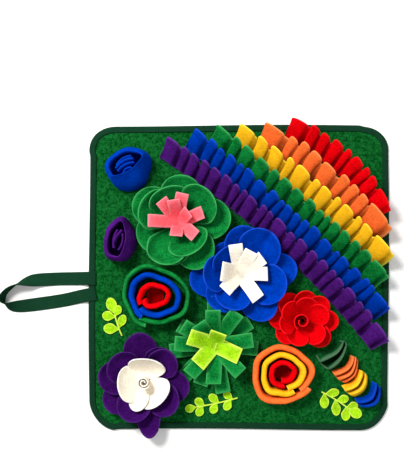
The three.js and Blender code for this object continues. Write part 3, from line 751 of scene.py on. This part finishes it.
def build_ruffle(sizes, index):
    name, start, end, bow, pleats = RUFFLES[index]
    bm = bmesh.new()
    width, depth = sizes.ruffle_width / MM, sizes.pleat_depth / MM
    surface = ruffle_surface(start, end, bow, pleats, width, depth, 7 * index + 3)
    lay_sheet(bm, pleats * PLEAT_CELLS, 10, surface, crowd_across=False, fold=pleat_gap_shade(pleats))
    piece = finish_piece(bm, f"pleats_{name}", name, sizes.felt, crease=0.5)
    span = (Vector(end) - Vector(start)).length
    register_sheet(piece, f"ruffle_{name}")
    return piece


# ---- Flowers ----

def on_disc(s, t):
    """Turns the square -1..1 into a round."""
    return s * math.sqrt(1 - t * t / 2), t * math.sqrt(1 - s * s / 2)


PETAL_LIP = 3.0
PETAL_ROOT = 0.42
PETAL_TILT = 3.6
PETAL_WAVE = 3.6
PETAL_FILL = 0.72
STRIP_TWIST = 2.0


def petal_surface(centre, base, hub, width, petal, cup, seed):
    """A cupped petal. petal is (heading, reach, lift, extras); extras may hold width, root, roll and dip."""
    angle, reach, lift, *more = petal
    extras = more[0] if more else {}
    half = extras.get("width", width) / 2
    roll, dip = (extras.get(key, 0.0) for key in ("roll", "dip"))
    root = extras.get("root", PETAL_ROOT)
    forward, sideways = heading(angle), heading(angle + 90)
    inner = 0.25 * hub

    def spot(u, v):
        s, t = on_disc(2 * u - 1, 2 * v - 1)
        along = inner + (reach - inner) * (t + 1) / 2
        share = max((along - hub) / (reach - hub), 0.0)
        taper = root + (1 - root) * smooth(along / (0.62 * reach))
        across = s * half * taper
        soft = noise.noise(Vector((along / 26, across / 22, seed)))
        rise = lift * share ** 1.3 + cup * s * s * smooth(share * 1.4) + PETAL_WAVE * soft * share
        rise += PETAL_TILT * s * smooth(share * 2) - dip * share * math.exp(-(s / 0.22) ** 2)
        rise += PETAL_LIP * smooth((math.hypot(s, max(t, 0)) - 0.6) / 0.4)
        if roll:
            turned = smooth((s * math.copysign(1, roll) - 0.15) / 0.85)
            rise += abs(roll) * turned * share
            across -= math.copysign(0.45 * abs(roll) * turned ** 2, roll)
        lean = rise * 0.10 * share
        return centre + forward * (along - lean) + sideways * across + UP * (base + max(rise, -0.5))
    return spot


def strip_surface(centre, base, hub, width, strip, seed):
    """A cut strip that stands up from the hub and bends outwards."""
    angle, reach, lift, *more = strip
    extras = more[0] if more else {}
    half = extras.get("width", width) / 2
    start = -0.4 * hub
    twist = STRIP_TWIST * noise.noise(Vector((angle, seed, 1)))
    forward, sideways = heading(angle), heading(angle + 90)

    def spot(u, v):
        s = 2 * u - 1
        along = start + (reach - start) * v
        free = max((along - 0.6 * hub) / (reach - 0.6 * hub), 0.0)
        rise = lift * (0.35 * math.sin(math.pi / 2 * free) + 0.65 * smooth(free))
        rise += s * twist * v + 0.8 * noise.noise(Vector((along / 15, s, seed)))
        drift = 2.5 * noise.noise(Vector((angle, seed, v * 1.3)))
        return centre + forward * along + sideways * (s * half + drift * v) + UP * (base + rise)
    return spot


FLOWERS = {
    "green": {"at": (-99, 91), "cloth": "green", "hub": 14, "layers": [
        ("lower", 0, 70, 6, [(5, 89, 15), (83, 78, 16), (150, 83, 10), (208, 74, 9), (253, 74, 8),
                             (301, 89, 17)]),
        ("upper", 1, 72, 9, [(38, 74, 32), (110, 60, 28), (152, 68, 30), (245, 78, 26, {"roll": -13}),
                             (298, 62, 28)]),
    ]},
    "blue": {"at": (1.5, 5), "cloth": "blue", "hub": 14, "layers": [
        ("lower", 0, 64, 4, [(6, 96, 13), (83, 82, 20), (133, 62, 4), (188, 84, 5), (232, 72, 16),
                             (305, 90, 17)]),
        ("upper", 1, 62, 7, [(52, 88, 32, {"width": 74, "dip": 8}), (125, 52, 22), (178, 62, 29),
                             (252, 62, 24), (340, 82, 28, {"width": 70})]),
    ]},
    "red": {"at": (104, -71), "cloth": "red", "hub": 12, "layers": [
        ("lower", 0, 40, 5, [(0, 60, 13), (42, 55, 16), (82, 52, 14), (128, 56, 15), (172, 58, 12),
                             (216, 52, 14), (262, 38, 9), (318, 57, 13)]),
        ("upper", 1, 38, 8, [(22, 46, 24), (76, 43, 27), (140, 43, 25), (190, 42, 27, {"roll": 6}),
                             (250, 43, 24), (312, 46, 25)]),
    ]},
    "purple": {"at": (-153, -169), "cloth": "violet", "hub": 14, "layers": [
        ("lower", 0, 58, 4, [(350, 76, 14), (50, 66, 10), (98, 82, 14), (172, 78, 14), (213, 79, 12),
                             (276, 94, 18, {"width": 42})]),
        ("upper", 1, 58, 5, [(46, 70, 28, {"roll": 9}), (146, 68, 25), (246, 70, 25), (317, 72, 25)]),
    ]},
}
PETAL_CELLS = 16
# Painted shade at a flower's hub
HUB_SHADE = 0.75
# Painted shade at the sewn foot of cut strips
STRIP_FOOT_SHADE = 0.55


def petal_hub_shade(u, v):
    """Painted shade towards the hub, where the petals crowd together."""
    return HUB_SHADE * smooth(1 - 1.5 * v)


def build_petal_layer(sizes, name, node, cloth_name, at, hub, layer):
    _, level, width, cup, petals = layer
    bm = bmesh.new()
    centre = Vector((*at, 0))
    fold = None if cloth_name == "cream" else petal_hub_shade
    for index, petal in enumerate(petals):
        base = LAYER_ONE + level * LAYER_STEP + 0.35 * (index % 2)
        lay_sheet(bm, PETAL_CELLS, PETAL_CELLS,
                  petal_surface(centre, base, hub, width, petal, cup, 3.1 * index + level),
                  fold=fold)
    piece = finish_piece(bm, name, cloth_name, sizes.felt, crease=0.6)
    reach = max(petal[1] for petal in petals)
    area = sum(PETAL_FILL * width * petal[1] for petal in petals) * MM * MM
    register_sheet(piece, node)
    return piece


def build_flower(sizes, key):
    flower = FLOWERS[key]
    cloth_name = flower["cloth"]
    for layer in flower["layers"]:
        build_petal_layer(sizes, f"{key}_petals_{layer[0]}", f"{key}_flower_{layer[0]}", cloth_name,
                          flower["at"], flower["hub"], layer)


CREAM_PETALS = ("cream", 2, 50, 5, [(80, 42, 24, {"width": 62, "root": 0.75}),
                                    (188, 44, 24, {"width": 60, "root": 0.75}),
                                    (252, 50, 20, {"width": 32, "root": 0.8}),
                                    (312, 46, 24, {"width": 62, "root": 0.75})])

# Strips: heading, reach and height of the end
TUFTS = {
    "fringe_lower": ("green", (-40, -110), 0, 18, 25, [
        (355, 72, 7), (32, 70, 6), (72, 66, 4), (90, 74, 5), (150, 66, 7), (188, 74, 5), (226, 78, 5),
        (250, 70, 5), (281, 80, 8), (312, 64, 7)]),
    "fringe_upper": ("green", (-40, -110), 1, 18, 25, [
        (8, 64, 22), (56, 66, 24), (92, 58, 24), (124, 44, 27), (148, 60, 22), (176, 64, 20), (230, 62, 22),
        (270, 62, 22), (315, 62, 22)]),
    "pink_tuft": ("pink", (-99, 91), 2, 10, 21, [
        (18, 44, 24), (36, 24, 30), (78, 45, 27), (100, 34, 29), (128, 42, 25), (180, 47, 24), (265, 25, 28),
        (321, 39, 25)]),
    "cream_tuft": ("cream", (1.5, 5), 2, 10, 23, [
        (2, 45, 24), (36, 46, 26), (62, 42, 27), (98, 49, 26), (172, 30, 28, {"width": 32}), (226, 36, 26),
        (308, 50, 22)]),
    "lime_tuft": ("lime", (-40, -110), 2, 10, 27, [
        (338, 45, 20), (70, 24, 28), (160, 43, 22), (228, 40, 23)]),
}


def strip_foot_shade(u, v):
    """Painted shade where the strips crowd together and are sewn down."""
    return STRIP_FOOT_SHADE * smooth(1 - 2.2 * v)


def build_tuft(sizes, node):
    cloth_name, at, level, hub, width, strips = TUFTS[node]
    bm = bmesh.new()
    for index, strip in enumerate(strips):
        base = LAYER_ONE + level * LAYER_STEP + 0.5 * (index % 3)
        lay_sheet(bm, 6, 12, strip_surface(Vector((*at, 0)), base, hub, width, strip, 2.7 * index),
                  fold=strip_foot_shade)
    if node.startswith("fringe"):
        lay_sheet(bm, 14, 14, disc_surface(Vector((*at, 0)), LAYER_ONE + level * LAYER_STEP + 0.8, 24.0))
    piece = finish_piece(bm, f"{node}_strips", cloth_name, sizes.felt, crease=0.85)
    area = sum(width * strip[1] for strip in strips) * MM * MM
    register_sheet(piece, node)
    return piece


DISC_RISE = 0.2


def disc_surface(centre, height, radius):
    def spot(u, v):
        s, t = on_disc(2 * u - 1, 2 * v - 1)
        return centre + Vector((s * radius, t * radius, height + DISC_RISE * (s * s + t * t)))
    return spot


def build_cream_petals(sizes):
    return build_petal_layer(sizes, "cream_flower_petals", "cream_petals", "cream",
                             FLOWERS["purple"]["at"], 12, CREAM_PETALS)


# ---- Rolled pieces ----

# Node: cloth, oval (x, y, long and short radius, tilt), start, height, spread, flare
ROLLED = {
    "rose_green": ("green", (-135, -29, 50, 42, -20), 238, 31, 5.5, 3),
    "rose_blue": ("blue", (-136.5, -29.5, 37, 30, -18), 228, 35, 7.2, 2),
    "rose_red": ("red", (-137, -29.5, 22, 16.5, 5), 205, 33, 6.2, 1),
    "sunset_orange": ("orange", (70, -157, 44, 41, 20), 318, 30, 7.6, 3),
    "sunset_yellow": ("yellow", (70.5, -156, 31, 28.5, 30), 290, 34, 7.2, 2),
    "sunset_red": ("red", (70.5, -155, 18.5, 15.5, 30), 268, 31, 6.4, 1),
}
# Painted shade over the whole floor disc of a red roll
ROLL_FLOOR_SHADE = 0.9
ROLL_TURN = 374.0
ROLL_LAP = 4.4
LAP_SHARE = 0.14
ROLL_WAVE = 1.6


def rolled_dent(angle, seed):
    """How far a wound strip's line strays from its oval: three soft corners, one of them to the right."""
    return 1 + 0.05 * math.cos(3 * angle) + 0.02 * math.sin(5 * angle + seed) + 0.015 * math.sin(8 * angle)


def flat_bend(bend):
    """A rounded turn, flatter on top than half a circle: sideways and upward shares."""
    across, rise = math.cos(bend), math.sin(bend)
    return math.copysign(abs(across) ** 0.6, across), 0.7 * rise ** 0.8


def rolled_surface(oval, start, height, spread, flare, felt, seed):
    """A strip folded lengthwise and wound once round, fold up, its end lapped outside its beginning."""
    cx, cy, long_radius, short_radius, tilt = oval
    axis, cross = heading(tilt), heading(tilt + 90)

    def ring(u):
        angle = math.radians(start + ROLL_TURN * u - tilt)
        lap = ROLL_LAP * (smooth((u - 1 + LAP_SHARE) / LAP_SHARE) - smooth((LAP_SHARE - u) / LAP_SHARE))
        dent = rolled_dent(angle + math.radians(tilt), round(cx / 10))
        return (Vector((cx, cy, 0)) + axis * ((long_radius * dent + lap) * math.cos(angle))
                + cross * ((short_radius * dent + lap) * math.sin(angle)))

    def spot(u, v):
        along = (ring(u + 1e-3) - ring(u - 1e-3)).normalized()
        out = along.cross(UP)
        half = (spread / 2) * (1 + 0.16 * noise.noise(Vector((u * 7, seed, 0))))
        bottom = FELT_BED + felt / 2
        top = height - felt / 2 - half + ROLL_WAVE * noise.noise(Vector((u * 5, seed + 3, 0)))
        leg = top - bottom
        walk = v * (2 * leg + math.pi * half)
        if walk < leg:
            side, z = half, bottom + walk
        elif walk > leg + math.pi * half:
            side, z = -half, bottom + (2 * leg + math.pi * half - walk)
        else:
            bend = (walk - leg) / half
            across, rise = flat_bend(bend)
            side, z = half * across, top + half * rise
        upright = (z - bottom) / (height - bottom)
        return ring(u) + out * (side + flare * upright) + UP * z
    return spot


def rolled_wall_shade(u, v):
    """Painted shade on both walls of the folded strip: dark at the foot, light towards the fold on top."""
    return 0.8 * smooth(1 - 3.0 * v) + 0.8 * smooth(3.4 * v - 2.4)


def build_rolled(sizes, node):
    cloth_name, oval, start, height, spread, flare = ROLLED[node]
    bm = bmesh.new()
    felt = sizes.folded_felt / MM
    lay_sheet(bm, 76, 18, rolled_surface(oval, start, height, spread, flare, felt, oval[2]),
              fold=rolled_wall_shade)
    if cloth_name == "red":
        # Floor disc inside the red rolls, painted dark as shade
        floor = disc_surface(Vector((oval[0], oval[1], 0)), FELT_BED + 1.5, 0.85 * oval[3])
        lay_sheet(bm, 10, 10, floor, fold=lambda u, v: ROLL_FLOOR_SHADE)
    # Painted highlight on the fold on top, from 3 mm below its height
    piece = finish_piece(bm, f"{node}_roll", cloth_name, sizes.folded_felt, crease=0.7,
                         highlight_from=height - 3)
    register_sheet(piece, node)
    return piece


# Node: cloth, centre, inner and outer radius, turns, bottom, height, start
SPIRALS = {
    "cream_roll": ("cream", (-153, -169), 2.5, 9.5, 1.9, LAYER_ONE + 3 * LAYER_STEP, 22, 0),
    "red_flower_bud": ("red", (102, -71), 5, 13, 1.25, LAYER_ONE + 2 * LAYER_STEP, 23, 150),
}


def build_spiral(sizes, node):
    cloth_name, at, inner, outer, turns, bottom, height, start = SPIRALS[node]

    def spot(u, v):
        radius = inner + (outer - inner) * u + 1.2 * v * v * u
        lift = height * v + (1.2 * noise.noise(Vector((u * 4, 1, 0))) if v > 0.5 else 0)
        return Vector((*at, bottom + lift)) + heading(start + 360 * turns * u) * radius
    bm = bmesh.new()
    lay_sheet(bm, 60, 8, spot)
    piece = finish_piece(bm, f"{node}_felt", cloth_name, sizes.folded_felt, crease=0.7)
    register_sheet(piece, node)
    return piece


# ---- Buds ----

# Bud: foot oval, mouth oval, height, and how far the side at the lower right is drawn in
BUDS = {
    "blue": ((-179, 177, 37, 35, 30), (-181, 180, 31, 22, 30), 43, 0.45),
    "purple": ((-194, 61, 36, 26, 84), (-193, 60, 31, 19, 80), 43, 0.30),
}
BUD_RIM = 1.7
BUD_WAVE = 1.3


def oval_place(oval, angle, inset, flat):
    cx, cy, long_radius, short_radius, tilt = oval
    across = math.sin(angle)
    across *= 1 - flat if across < 0 else 1.0
    corners = 1 + 0.045 * math.sin(3 * angle + 1) + 0.03 * math.sin(5 * angle + 2)
    return (Vector((cx, cy, 0)) + heading(tilt) * (long_radius * corners - inset) * math.cos(angle)
            + heading(tilt + 90) * (short_radius * corners - inset) * across)


def bud_profile(v, foot, mouth, height, flat, angle):
    """Foot, outer wall, rolled rim, inner wall and floor of a bud, as v runs from 0 to 1."""
    rim = BUD_RIM * (1 + 0.2 * math.sin(3 * angle))
    if v < 0.08:
        return blend_line(Vector((foot[0], foot[1], FELT_BED)), oval_place(foot, angle, 1.5, 0)
                          + UP * FELT_BED, v / 0.08)
    if v < 0.5:
        climb = (v - 0.08) / 0.42
        bulge = 2.5 * math.sin(math.pi * climb)
        wall = blend_line(oval_place(foot, angle, -bulge, 0), oval_place(mouth, angle, -bulge, flat),
                          climb ** 1.3)
        return wall + UP * (FELT_BED + (height - rim - FELT_BED) * climb)
    if v < 0.68:
        turn = math.pi * (v - 0.5) / 0.18
        return (oval_place(mouth, angle, rim * (1 - math.cos(turn)), flat)
                + UP * (height - rim + rim * math.sin(turn)))
    if v < 0.92:
        fall = (v - 0.68) / 0.24
        return (oval_place(mouth, angle, 2 * rim - 0.5 * fall, flat)
                + UP * (height - rim - (height - rim - FELT_BED - 2) * fall))
    return blend_line(oval_place(mouth, angle, 2 * rim - 0.5, flat),
                      Vector((mouth[0], mouth[1], 0)), (v - 0.92) / 0.08) + UP * (FELT_BED + 2)


def build_bud(sizes, key):
    foot, mouth, height, flat = BUDS[key]
    bm = bmesh.new()

    def spot(u, v):
        angle = 2 * math.pi * u
        place = bud_profile(v, foot, mouth, height, flat, angle)
        round_bud = Vector((math.cos(angle) * 1.5, math.sin(angle) * 1.5, 4))
        place.z += BUD_WAVE * noise.noise(round_bud) * smooth(v * 2)
        return place
    lay_sheet(bm, 64, 40, spot, crowd_across=False)
    bmesh.ops.remove_doubles(bm, verts=bm.verts[:], dist=0.0001)
    bmesh.ops.recalc_face_normals(bm, faces=bm.faces[:])
    piece = finish_piece(bm, f"bud_{key}_wall", key)
    register_sheet(piece, f"bud_{key}_cup")
    return piece


# Bud: folded strips inside as (centre, tilt, length, swing, height)
BUD_STRIPS = {
    "blue": [((-184.5, 187.5), 34, 28, 4, 33), ((-183, 183), 30, 32, 4, 37), ((-181, 177.5), 28, 30, 4, 34),
             ((-179, 172.5), 34, 17, 3, 30)],
    "purple": [((-197.5, 62), 78, 30, 3, 34), ((-194, 65), 56, 26, 2, 37), ((-189.5, 57), 76, 27, -3, 34)],
}
BUD_STRIP_HALF = 1.6


def build_bud_strips(sizes, key):
    bm = bmesh.new()
    bottom = FELT_BED + 2.6
    for (x, y), tilt, span, swing, height in BUD_STRIPS[key]:
        def spot(u, v, x=x, y=y, tilt=tilt, span=span, swing=swing, height=height):
            walk = abs(2 * v - 1)
            side = BUD_STRIP_HALF * math.copysign(min(walk * 6, 1.0), 2 * v - 1)
            lift = (1 - walk) if walk > 1 / 6 else 1 - walk * walk * 3 - 1 / 12
            bow = swing * math.cos(math.pi * (u - 0.5))
            return (Vector((x, y, bottom + height * lift)) + heading(tilt) * span * (u - 0.5)
                    + heading(tilt + 90) * (bow + side))
        lay_sheet(bm, 20, 16, spot)
    piece = finish_piece(bm, f"bud_{key}_strips", key, sizes.folded_felt, crease=0.5)
    area = sum(span * 2 * height for _, _, span, _, height in BUD_STRIPS[key]) * MM * MM
    register_sheet(piece, f"bud_{key}_fold")
    return piece


# ---- Pockets ----

# Node: cloth, centre, tilt, length, bend, how far the far end is drawn in, crests as (across, height)
POCKETS = {
    "green": ("bottle", (158, -127), 46, 54, 6, 0.62,
              [(-18, 0), (-9, 19), (-4, 3), (4, 3), (9, 19), (16, 0)]),
    "orange": ("orange", (180, -151), 50, 46, 8, 0.45,
               [(-15, 0), (-9, 20), (-4, 6), (1, 18), (6, 5), (10, 13), (15, 0)]),
    "yellow": ("yellow", (195, -175), 50, 44, 8, 0.25, [(-14, 0), (-7, 18), (-1, 5), (5, 15), (14, 0)]),
    "blue": ("blue", (215, -195), 44, 46, 12, 0.0, [(-9, 0), (-3, 17), (2, 4), (7, 14), (13, 0)]),
}
POCKET_BEND = 1.6
# Height above which the pockets' ridges get a painted highlight
POCKET_HIGHLIGHT_FROM = 14.0
POCKET_NARROWS = 0.14
POCKET_WAVE = 1.6


def pocket_surface(at, tilt, span, bend, pinch, crests, felt):
    """A strip folded into ridges; the ridges bow sideways and draw together towards one end."""
    axis, cross = heading(tilt), heading(tilt - 90)
    bottom = FELT_BED + felt / 2 + 0.3

    def spot(u, v):
        place = v * (len(crests) - 1)
        index = min(int(place), len(crests) - 2)
        share = place - index
        (x0, z0), (x1, z1) = crests[index], crests[index + 1]
        s = 2 * u - 1
        ends = 1 - 0.5 * abs(s) ** 3
        height = (z0 + (z1 - z0) * smooth(share)) * ends
        across = (x0 + (x1 - x0) * share) * (1 - pinch * smooth(u)) - bend * (abs(s) ** POCKET_BEND - 0.4)
        narrow = 1 - POCKET_NARROWS * abs(2 * v - 1) ** 2
        waver = POCKET_WAVE * noise.noise(Vector((u * 2.2, v * 3, at[0])))
        return Vector((*at, bottom + height)) + axis * span * (u - 0.5) * narrow + cross * (across + waver)
    return spot


def pocket_ridge_shade(crests, v):
    """Painted shade between two ridges, by how deep a point lies; the outer skirts lie open and get none."""
    place = v * (len(crests) - 1)
    index = min(int(place), len(crests) - 2)
    if index in (0, len(crests) - 2):
        return 0.0
    low, high = crests[index][1], crests[index + 1][1]
    return smooth(1.15 - (low + (high - low) * smooth(place - index)) / 16)


def build_pocket(sizes, key):
    cloth_name, at, tilt, span, bend, pinch, crests = POCKETS[key]
    bm = bmesh.new()
    felt = sizes.folded_felt / MM
    lay_sheet(bm, 18, 8 * (len(crests) - 1), pocket_surface(at, tilt, span, bend, pinch, crests, felt),
              fold=lambda u, v: pocket_ridge_shade(crests, v))
    piece = finish_piece(bm, f"pocket_{key}_felt", cloth_name, sizes.folded_felt, crease=0.6,
                         highlight_from=POCKET_HIGHLIGHT_FROM)
    strip = sum(math.dist(a, b) for a, b in zip(crests, crests[1:]))
    register_sheet(piece, f"pocket_{key}")
    return piece


# ---- Sprigs ----

# Sprig: stem from, stem to, leaves as (place on the stem, side, heading, length, width)
SPRIGS = {
    "left": ((-192, -96), (-204, -60), [
        (0.3, 1, 66, 26, 15), (0.36, -1, 42, 24, 12), (0.86, 1, 62, 22, 14), (0.9, -1, 40, 19, 12),
        (1, 0, 0, 28, 15)]),
    "bottom": ((-2, -198), (-70, -213), [
        (0.12, -1, 50, 19, 11), (0.16, 1, 46, 20, 12), (0.45, -1, 50, 21, 12), (0.5, 1, 48, 19, 12),
        (0.8, -1, 46, 19, 12), (0.84, 1, 48, 19, 12), (1, 0, 0, 19, 12)]),
    "right": ((136, -188), (180, -215), [
        (0.1, -1, 58, 25, 13), (0.14, 1, 40, 23, 12), (0.5, -1, 54, 27, 13), (0.56, 1, 44, 20, 12),
        (0.92, -1, 62, 23, 13), (0.94, 1, 42, 19, 12), (1, 0, 0, 25, 15)]),
}
STEM_WIDTH = 2.4
STEM_SWAY = 1.2
LEAF_FULLNESS = 1.2


def leaf_surface(root, turn, span, width, bed):
    forward, sideways = heading(turn), heading(turn + 90)

    def spot(u, v):
        s, t = on_disc(2 * u - 1, 2 * v - 1)
        along = span * (t + 1) / 2
        across = s * width / 2 * (0.35 + 0.65 * smooth((t + 1) / 1.1))
        lift = 0.9 * s * s + 1.4 * smooth(along / span) * noise.noise(Vector((turn, root.x, 0)))
        return root + forward * along + sideways * across + UP * (bed + max(lift, -0.3) + 0.3)
    return spot


def build_sprig(sizes, key):
    start, end, leaves = SPRIGS[key]
    start, end = Vector((*start, 0)), Vector((*end, 0))
    axis = end - start
    turn = math.degrees(math.atan2(axis.y, axis.x))
    bed = FELT_BED + sizes.sprig / MM / 2
    bm = bmesh.new()
    side = heading(turn + 90)

    def stem(u, v):
        sway = STEM_SWAY * math.sin(math.pi * v) * side
        return start + axis * v + sway + side * (u - 0.5) * STEM_WIDTH + UP * (bed + 0.4)
    lay_sheet(bm, 2, 16, stem)
    for place, flank, opened, span, width in leaves:
        root = start + axis * place + side * (STEM_SWAY * math.sin(math.pi * place))
        lay_sheet(bm, 8, 10, leaf_surface(root, turn + flank * opened, span, LEAF_FULLNESS * width, bed))
    piece = finish_piece(bm, f"sprig_{key}_leaves", "lime", sizes.sprig, crease=0.6)
    leaf_area = sum(PETAL_FILL * span * width * LEAF_FULLNESS for *_, span, width in leaves)
    register_sheet(piece, f"sprig_{key}")
    return piece


# ---- Stage ----

CAMERA_HEIGHT = 1.2
CAMERA_LENS = 58.3
CAMERA_SHIFT = (-0.082, 0.118)

# Light: place, disc diameter, power and tint; both face the mat's middle
LIGHTS = {
    "key": ((-0.9, 0.9, 1.5), 0.6, 44, (1.0, 0.98, 0.95)),
    "fill": ((1.2, -0.6, 1.3), 1.4, 7, (0.95, 0.97, 1.0)),
}
SKY_STRENGTH = 0.5
FLOOR_SIZE = 6.0


def add_light(name, place, size, power, tint):
    data = bpy.data.lights.new(name, "AREA")
    data.shape = "DISK"
    data.size = size
    data.energy = power
    data.color = tint
    lamp = bpy.data.objects.new(name, data)
    lamp.location = place
    lamp.rotation_euler = (-Vector(place)).to_track_quat("-Z", "Y").to_euler()
    bpy.context.scene.collection.objects.link(lamp)


def build_floor():
    bm = bmesh.new()
    bmesh.ops.create_grid(bm, x_segments=1, y_segments=1, size=FLOOR_SIZE)
    mesh = bpy.data.meshes.new("floor")
    bm.to_mesh(mesh)
    bm.free()
    floor = bpy.data.objects.new("floor", mesh)
    material = bpy.data.materials.new("floor")
    material.use_nodes = True
    shader = material.node_tree.nodes["Principled BSDF"]
    shader.inputs["Base Color"].default_value = (0.93, 0.93, 0.92, 1)
    shader.inputs["Roughness"].default_value = 0.8
    mesh.materials.append(material)
    bpy.context.scene.collection.objects.link(floor)


def build_camera():
    data = bpy.data.cameras.new("camera")
    data.lens = CAMERA_LENS
    data.shift_x, data.shift_y = CAMERA_SHIFT
    camera = bpy.data.objects.new("camera", data)
    camera.location = (0, 0, CAMERA_HEIGHT)
    bpy.context.scene.collection.objects.link(camera)
    bpy.context.scene.camera = camera


def build_world():
    world = bpy.data.worlds.new("studio")
    bpy.context.scene.world = world
    world.use_nodes = True
    sky = world.node_tree.nodes["Background"]
    sky.inputs["Color"].default_value = (1, 1, 1, 1)
    sky.inputs["Strength"].default_value = SKY_STRENGTH


# ---- Operators ----

def sizes_of(context):
    return context.scene.snuffle_sizes


class BuildStage(bpy.types.Operator):
    """Make the materials, floor, lights and camera"""
    bl_idname = "snuffle.stage"
    bl_label = "Stage"

    def execute(self, context):
        make_materials(context.scene.snuffle_colours)
        build_floor()
        build_world()
        build_camera()
        for name, (place, size, power, tint) in LIGHTS.items():
            add_light(name, place, size, power, tint)
        context.scene.view_settings.view_transform = "Standard"
        return {"FINISHED"}


class BuildBase(bpy.types.Operator):
    """Make the fleece panel, its binding with stitches, and the carry strap"""
    bl_idname = "snuffle.base"
    bl_label = "Panel, Binding and Strap"

    def execute(self, context):
        sizes = sizes_of(context)
        build_panel(sizes)
        build_binding(sizes)
        build_stitches(sizes)
        build_strap(sizes)
        return {"FINISHED"}


class BuildRuffles(bpy.types.Operator):
    """Make the six pleated strips"""
    bl_idname = "snuffle.ruffles"
    bl_label = "Ruffles"

    def execute(self, context):
        for index in range(len(RUFFLES)):
            build_ruffle(sizes_of(context), index)
        return {"FINISHED"}


class BuildFlowers(bpy.types.Operator):
    """Make the green, blue, red and purple flowers"""
    bl_idname = "snuffle.flowers"
    bl_label = "Flowers"

    def execute(self, context):
        for key in FLOWERS:
            build_flower(sizes_of(context), key)
        build_cream_petals(sizes_of(context))
        return {"FINISHED"}


class BuildTufts(bpy.types.Operator):
    """Make the cut strips: the fringed flower and the three tufts"""
    bl_idname = "snuffle.tufts"
    bl_label = "Strips and Tufts"

    def execute(self, context):
        for node in TUFTS:
            build_tuft(sizes_of(context), node)
        return {"FINISHED"}


class BuildRolls(bpy.types.Operator):
    """Make the two rolled roses and the small rolls in the flowers"""
    bl_idname = "snuffle.rolls"
    bl_label = "Roses and Rolls"

    def execute(self, context):
        for node in ROLLED:
            build_rolled(sizes_of(context), node)
        for node in SPIRALS:
            build_spiral(sizes_of(context), node)
        return {"FINISHED"}


class BuildBuds(bpy.types.Operator):
    """Make the two buds with the strips inside them"""
    bl_idname = "snuffle.buds"
    bl_label = "Buds"

    def execute(self, context):
        for key in BUDS:
            build_bud(sizes_of(context), key)
            build_bud_strips(sizes_of(context), key)
        return {"FINISHED"}


class BuildPockets(bpy.types.Operator):
    """Make the four folded pockets"""
    bl_idname = "snuffle.pockets"
    bl_label = "Pockets"

    def execute(self, context):
        for key in POCKETS:
            build_pocket(sizes_of(context), key)
        return {"FINISHED"}


class BuildSprigs(bpy.types.Operator):
    """Make the three leaf sprigs"""
    bl_idname = "snuffle.sprigs"
    bl_label = "Leaf Sprigs"

    def execute(self, context):
        for key in SPRIGS:
            build_sprig(sizes_of(context), key)
        return {"FINISHED"}


OPERATORS = (BuildStage, BuildBase, BuildRuffles, BuildFlowers, BuildTufts, BuildRolls, BuildBuds,
             BuildPockets, BuildSprigs)


class SnufflePanel(bpy.types.Panel):
    """Lists the mat's settings and the operators that build it"""
    bl_idname = "VIEW3D_PT_snuffle_mat"
    bl_label = "Snuffle Mat"
    bl_space_type = "VIEW_3D"
    bl_region_type = "UI"
    bl_category = "Snuffle Mat"

    def draw(self, context):
        column = self.layout.column(align=True)
        for group in (context.scene.snuffle_sizes, context.scene.snuffle_colours):
            for name in group.bl_rna.properties.keys():
                if name not in ("rna_type", "name"):
                    column.prop(group, name)
        for operator in OPERATORS:
            column.operator(operator.bl_idname)


CLASSES = (MatSizes, MatColours, *OPERATORS, SnufflePanel)


def register():
    for cls in CLASSES:
        bpy.utils.register_class(cls)
    bpy.types.Scene.snuffle_sizes = bpy.props.PointerProperty(type=MatSizes)
    bpy.types.Scene.snuffle_colours = bpy.props.PointerProperty(type=MatColours)


def unregister():
    del bpy.types.Scene.snuffle_colours
    del bpy.types.Scene.snuffle_sizes
    for cls in reversed(CLASSES):
        bpy.utils.unregister_class(cls)


def main():
    register()
    bpy.ops.snuffle.stage()
    bpy.ops.snuffle.base()
    bpy.ops.snuffle.ruffles()
    bpy.ops.snuffle.flowers()
    bpy.ops.snuffle.tufts()
    bpy.ops.snuffle.rolls()
    bpy.ops.snuffle.buds()
    bpy.ops.snuffle.pockets()
    bpy.ops.snuffle.sprigs()


if __name__ == "__main__":
    main()
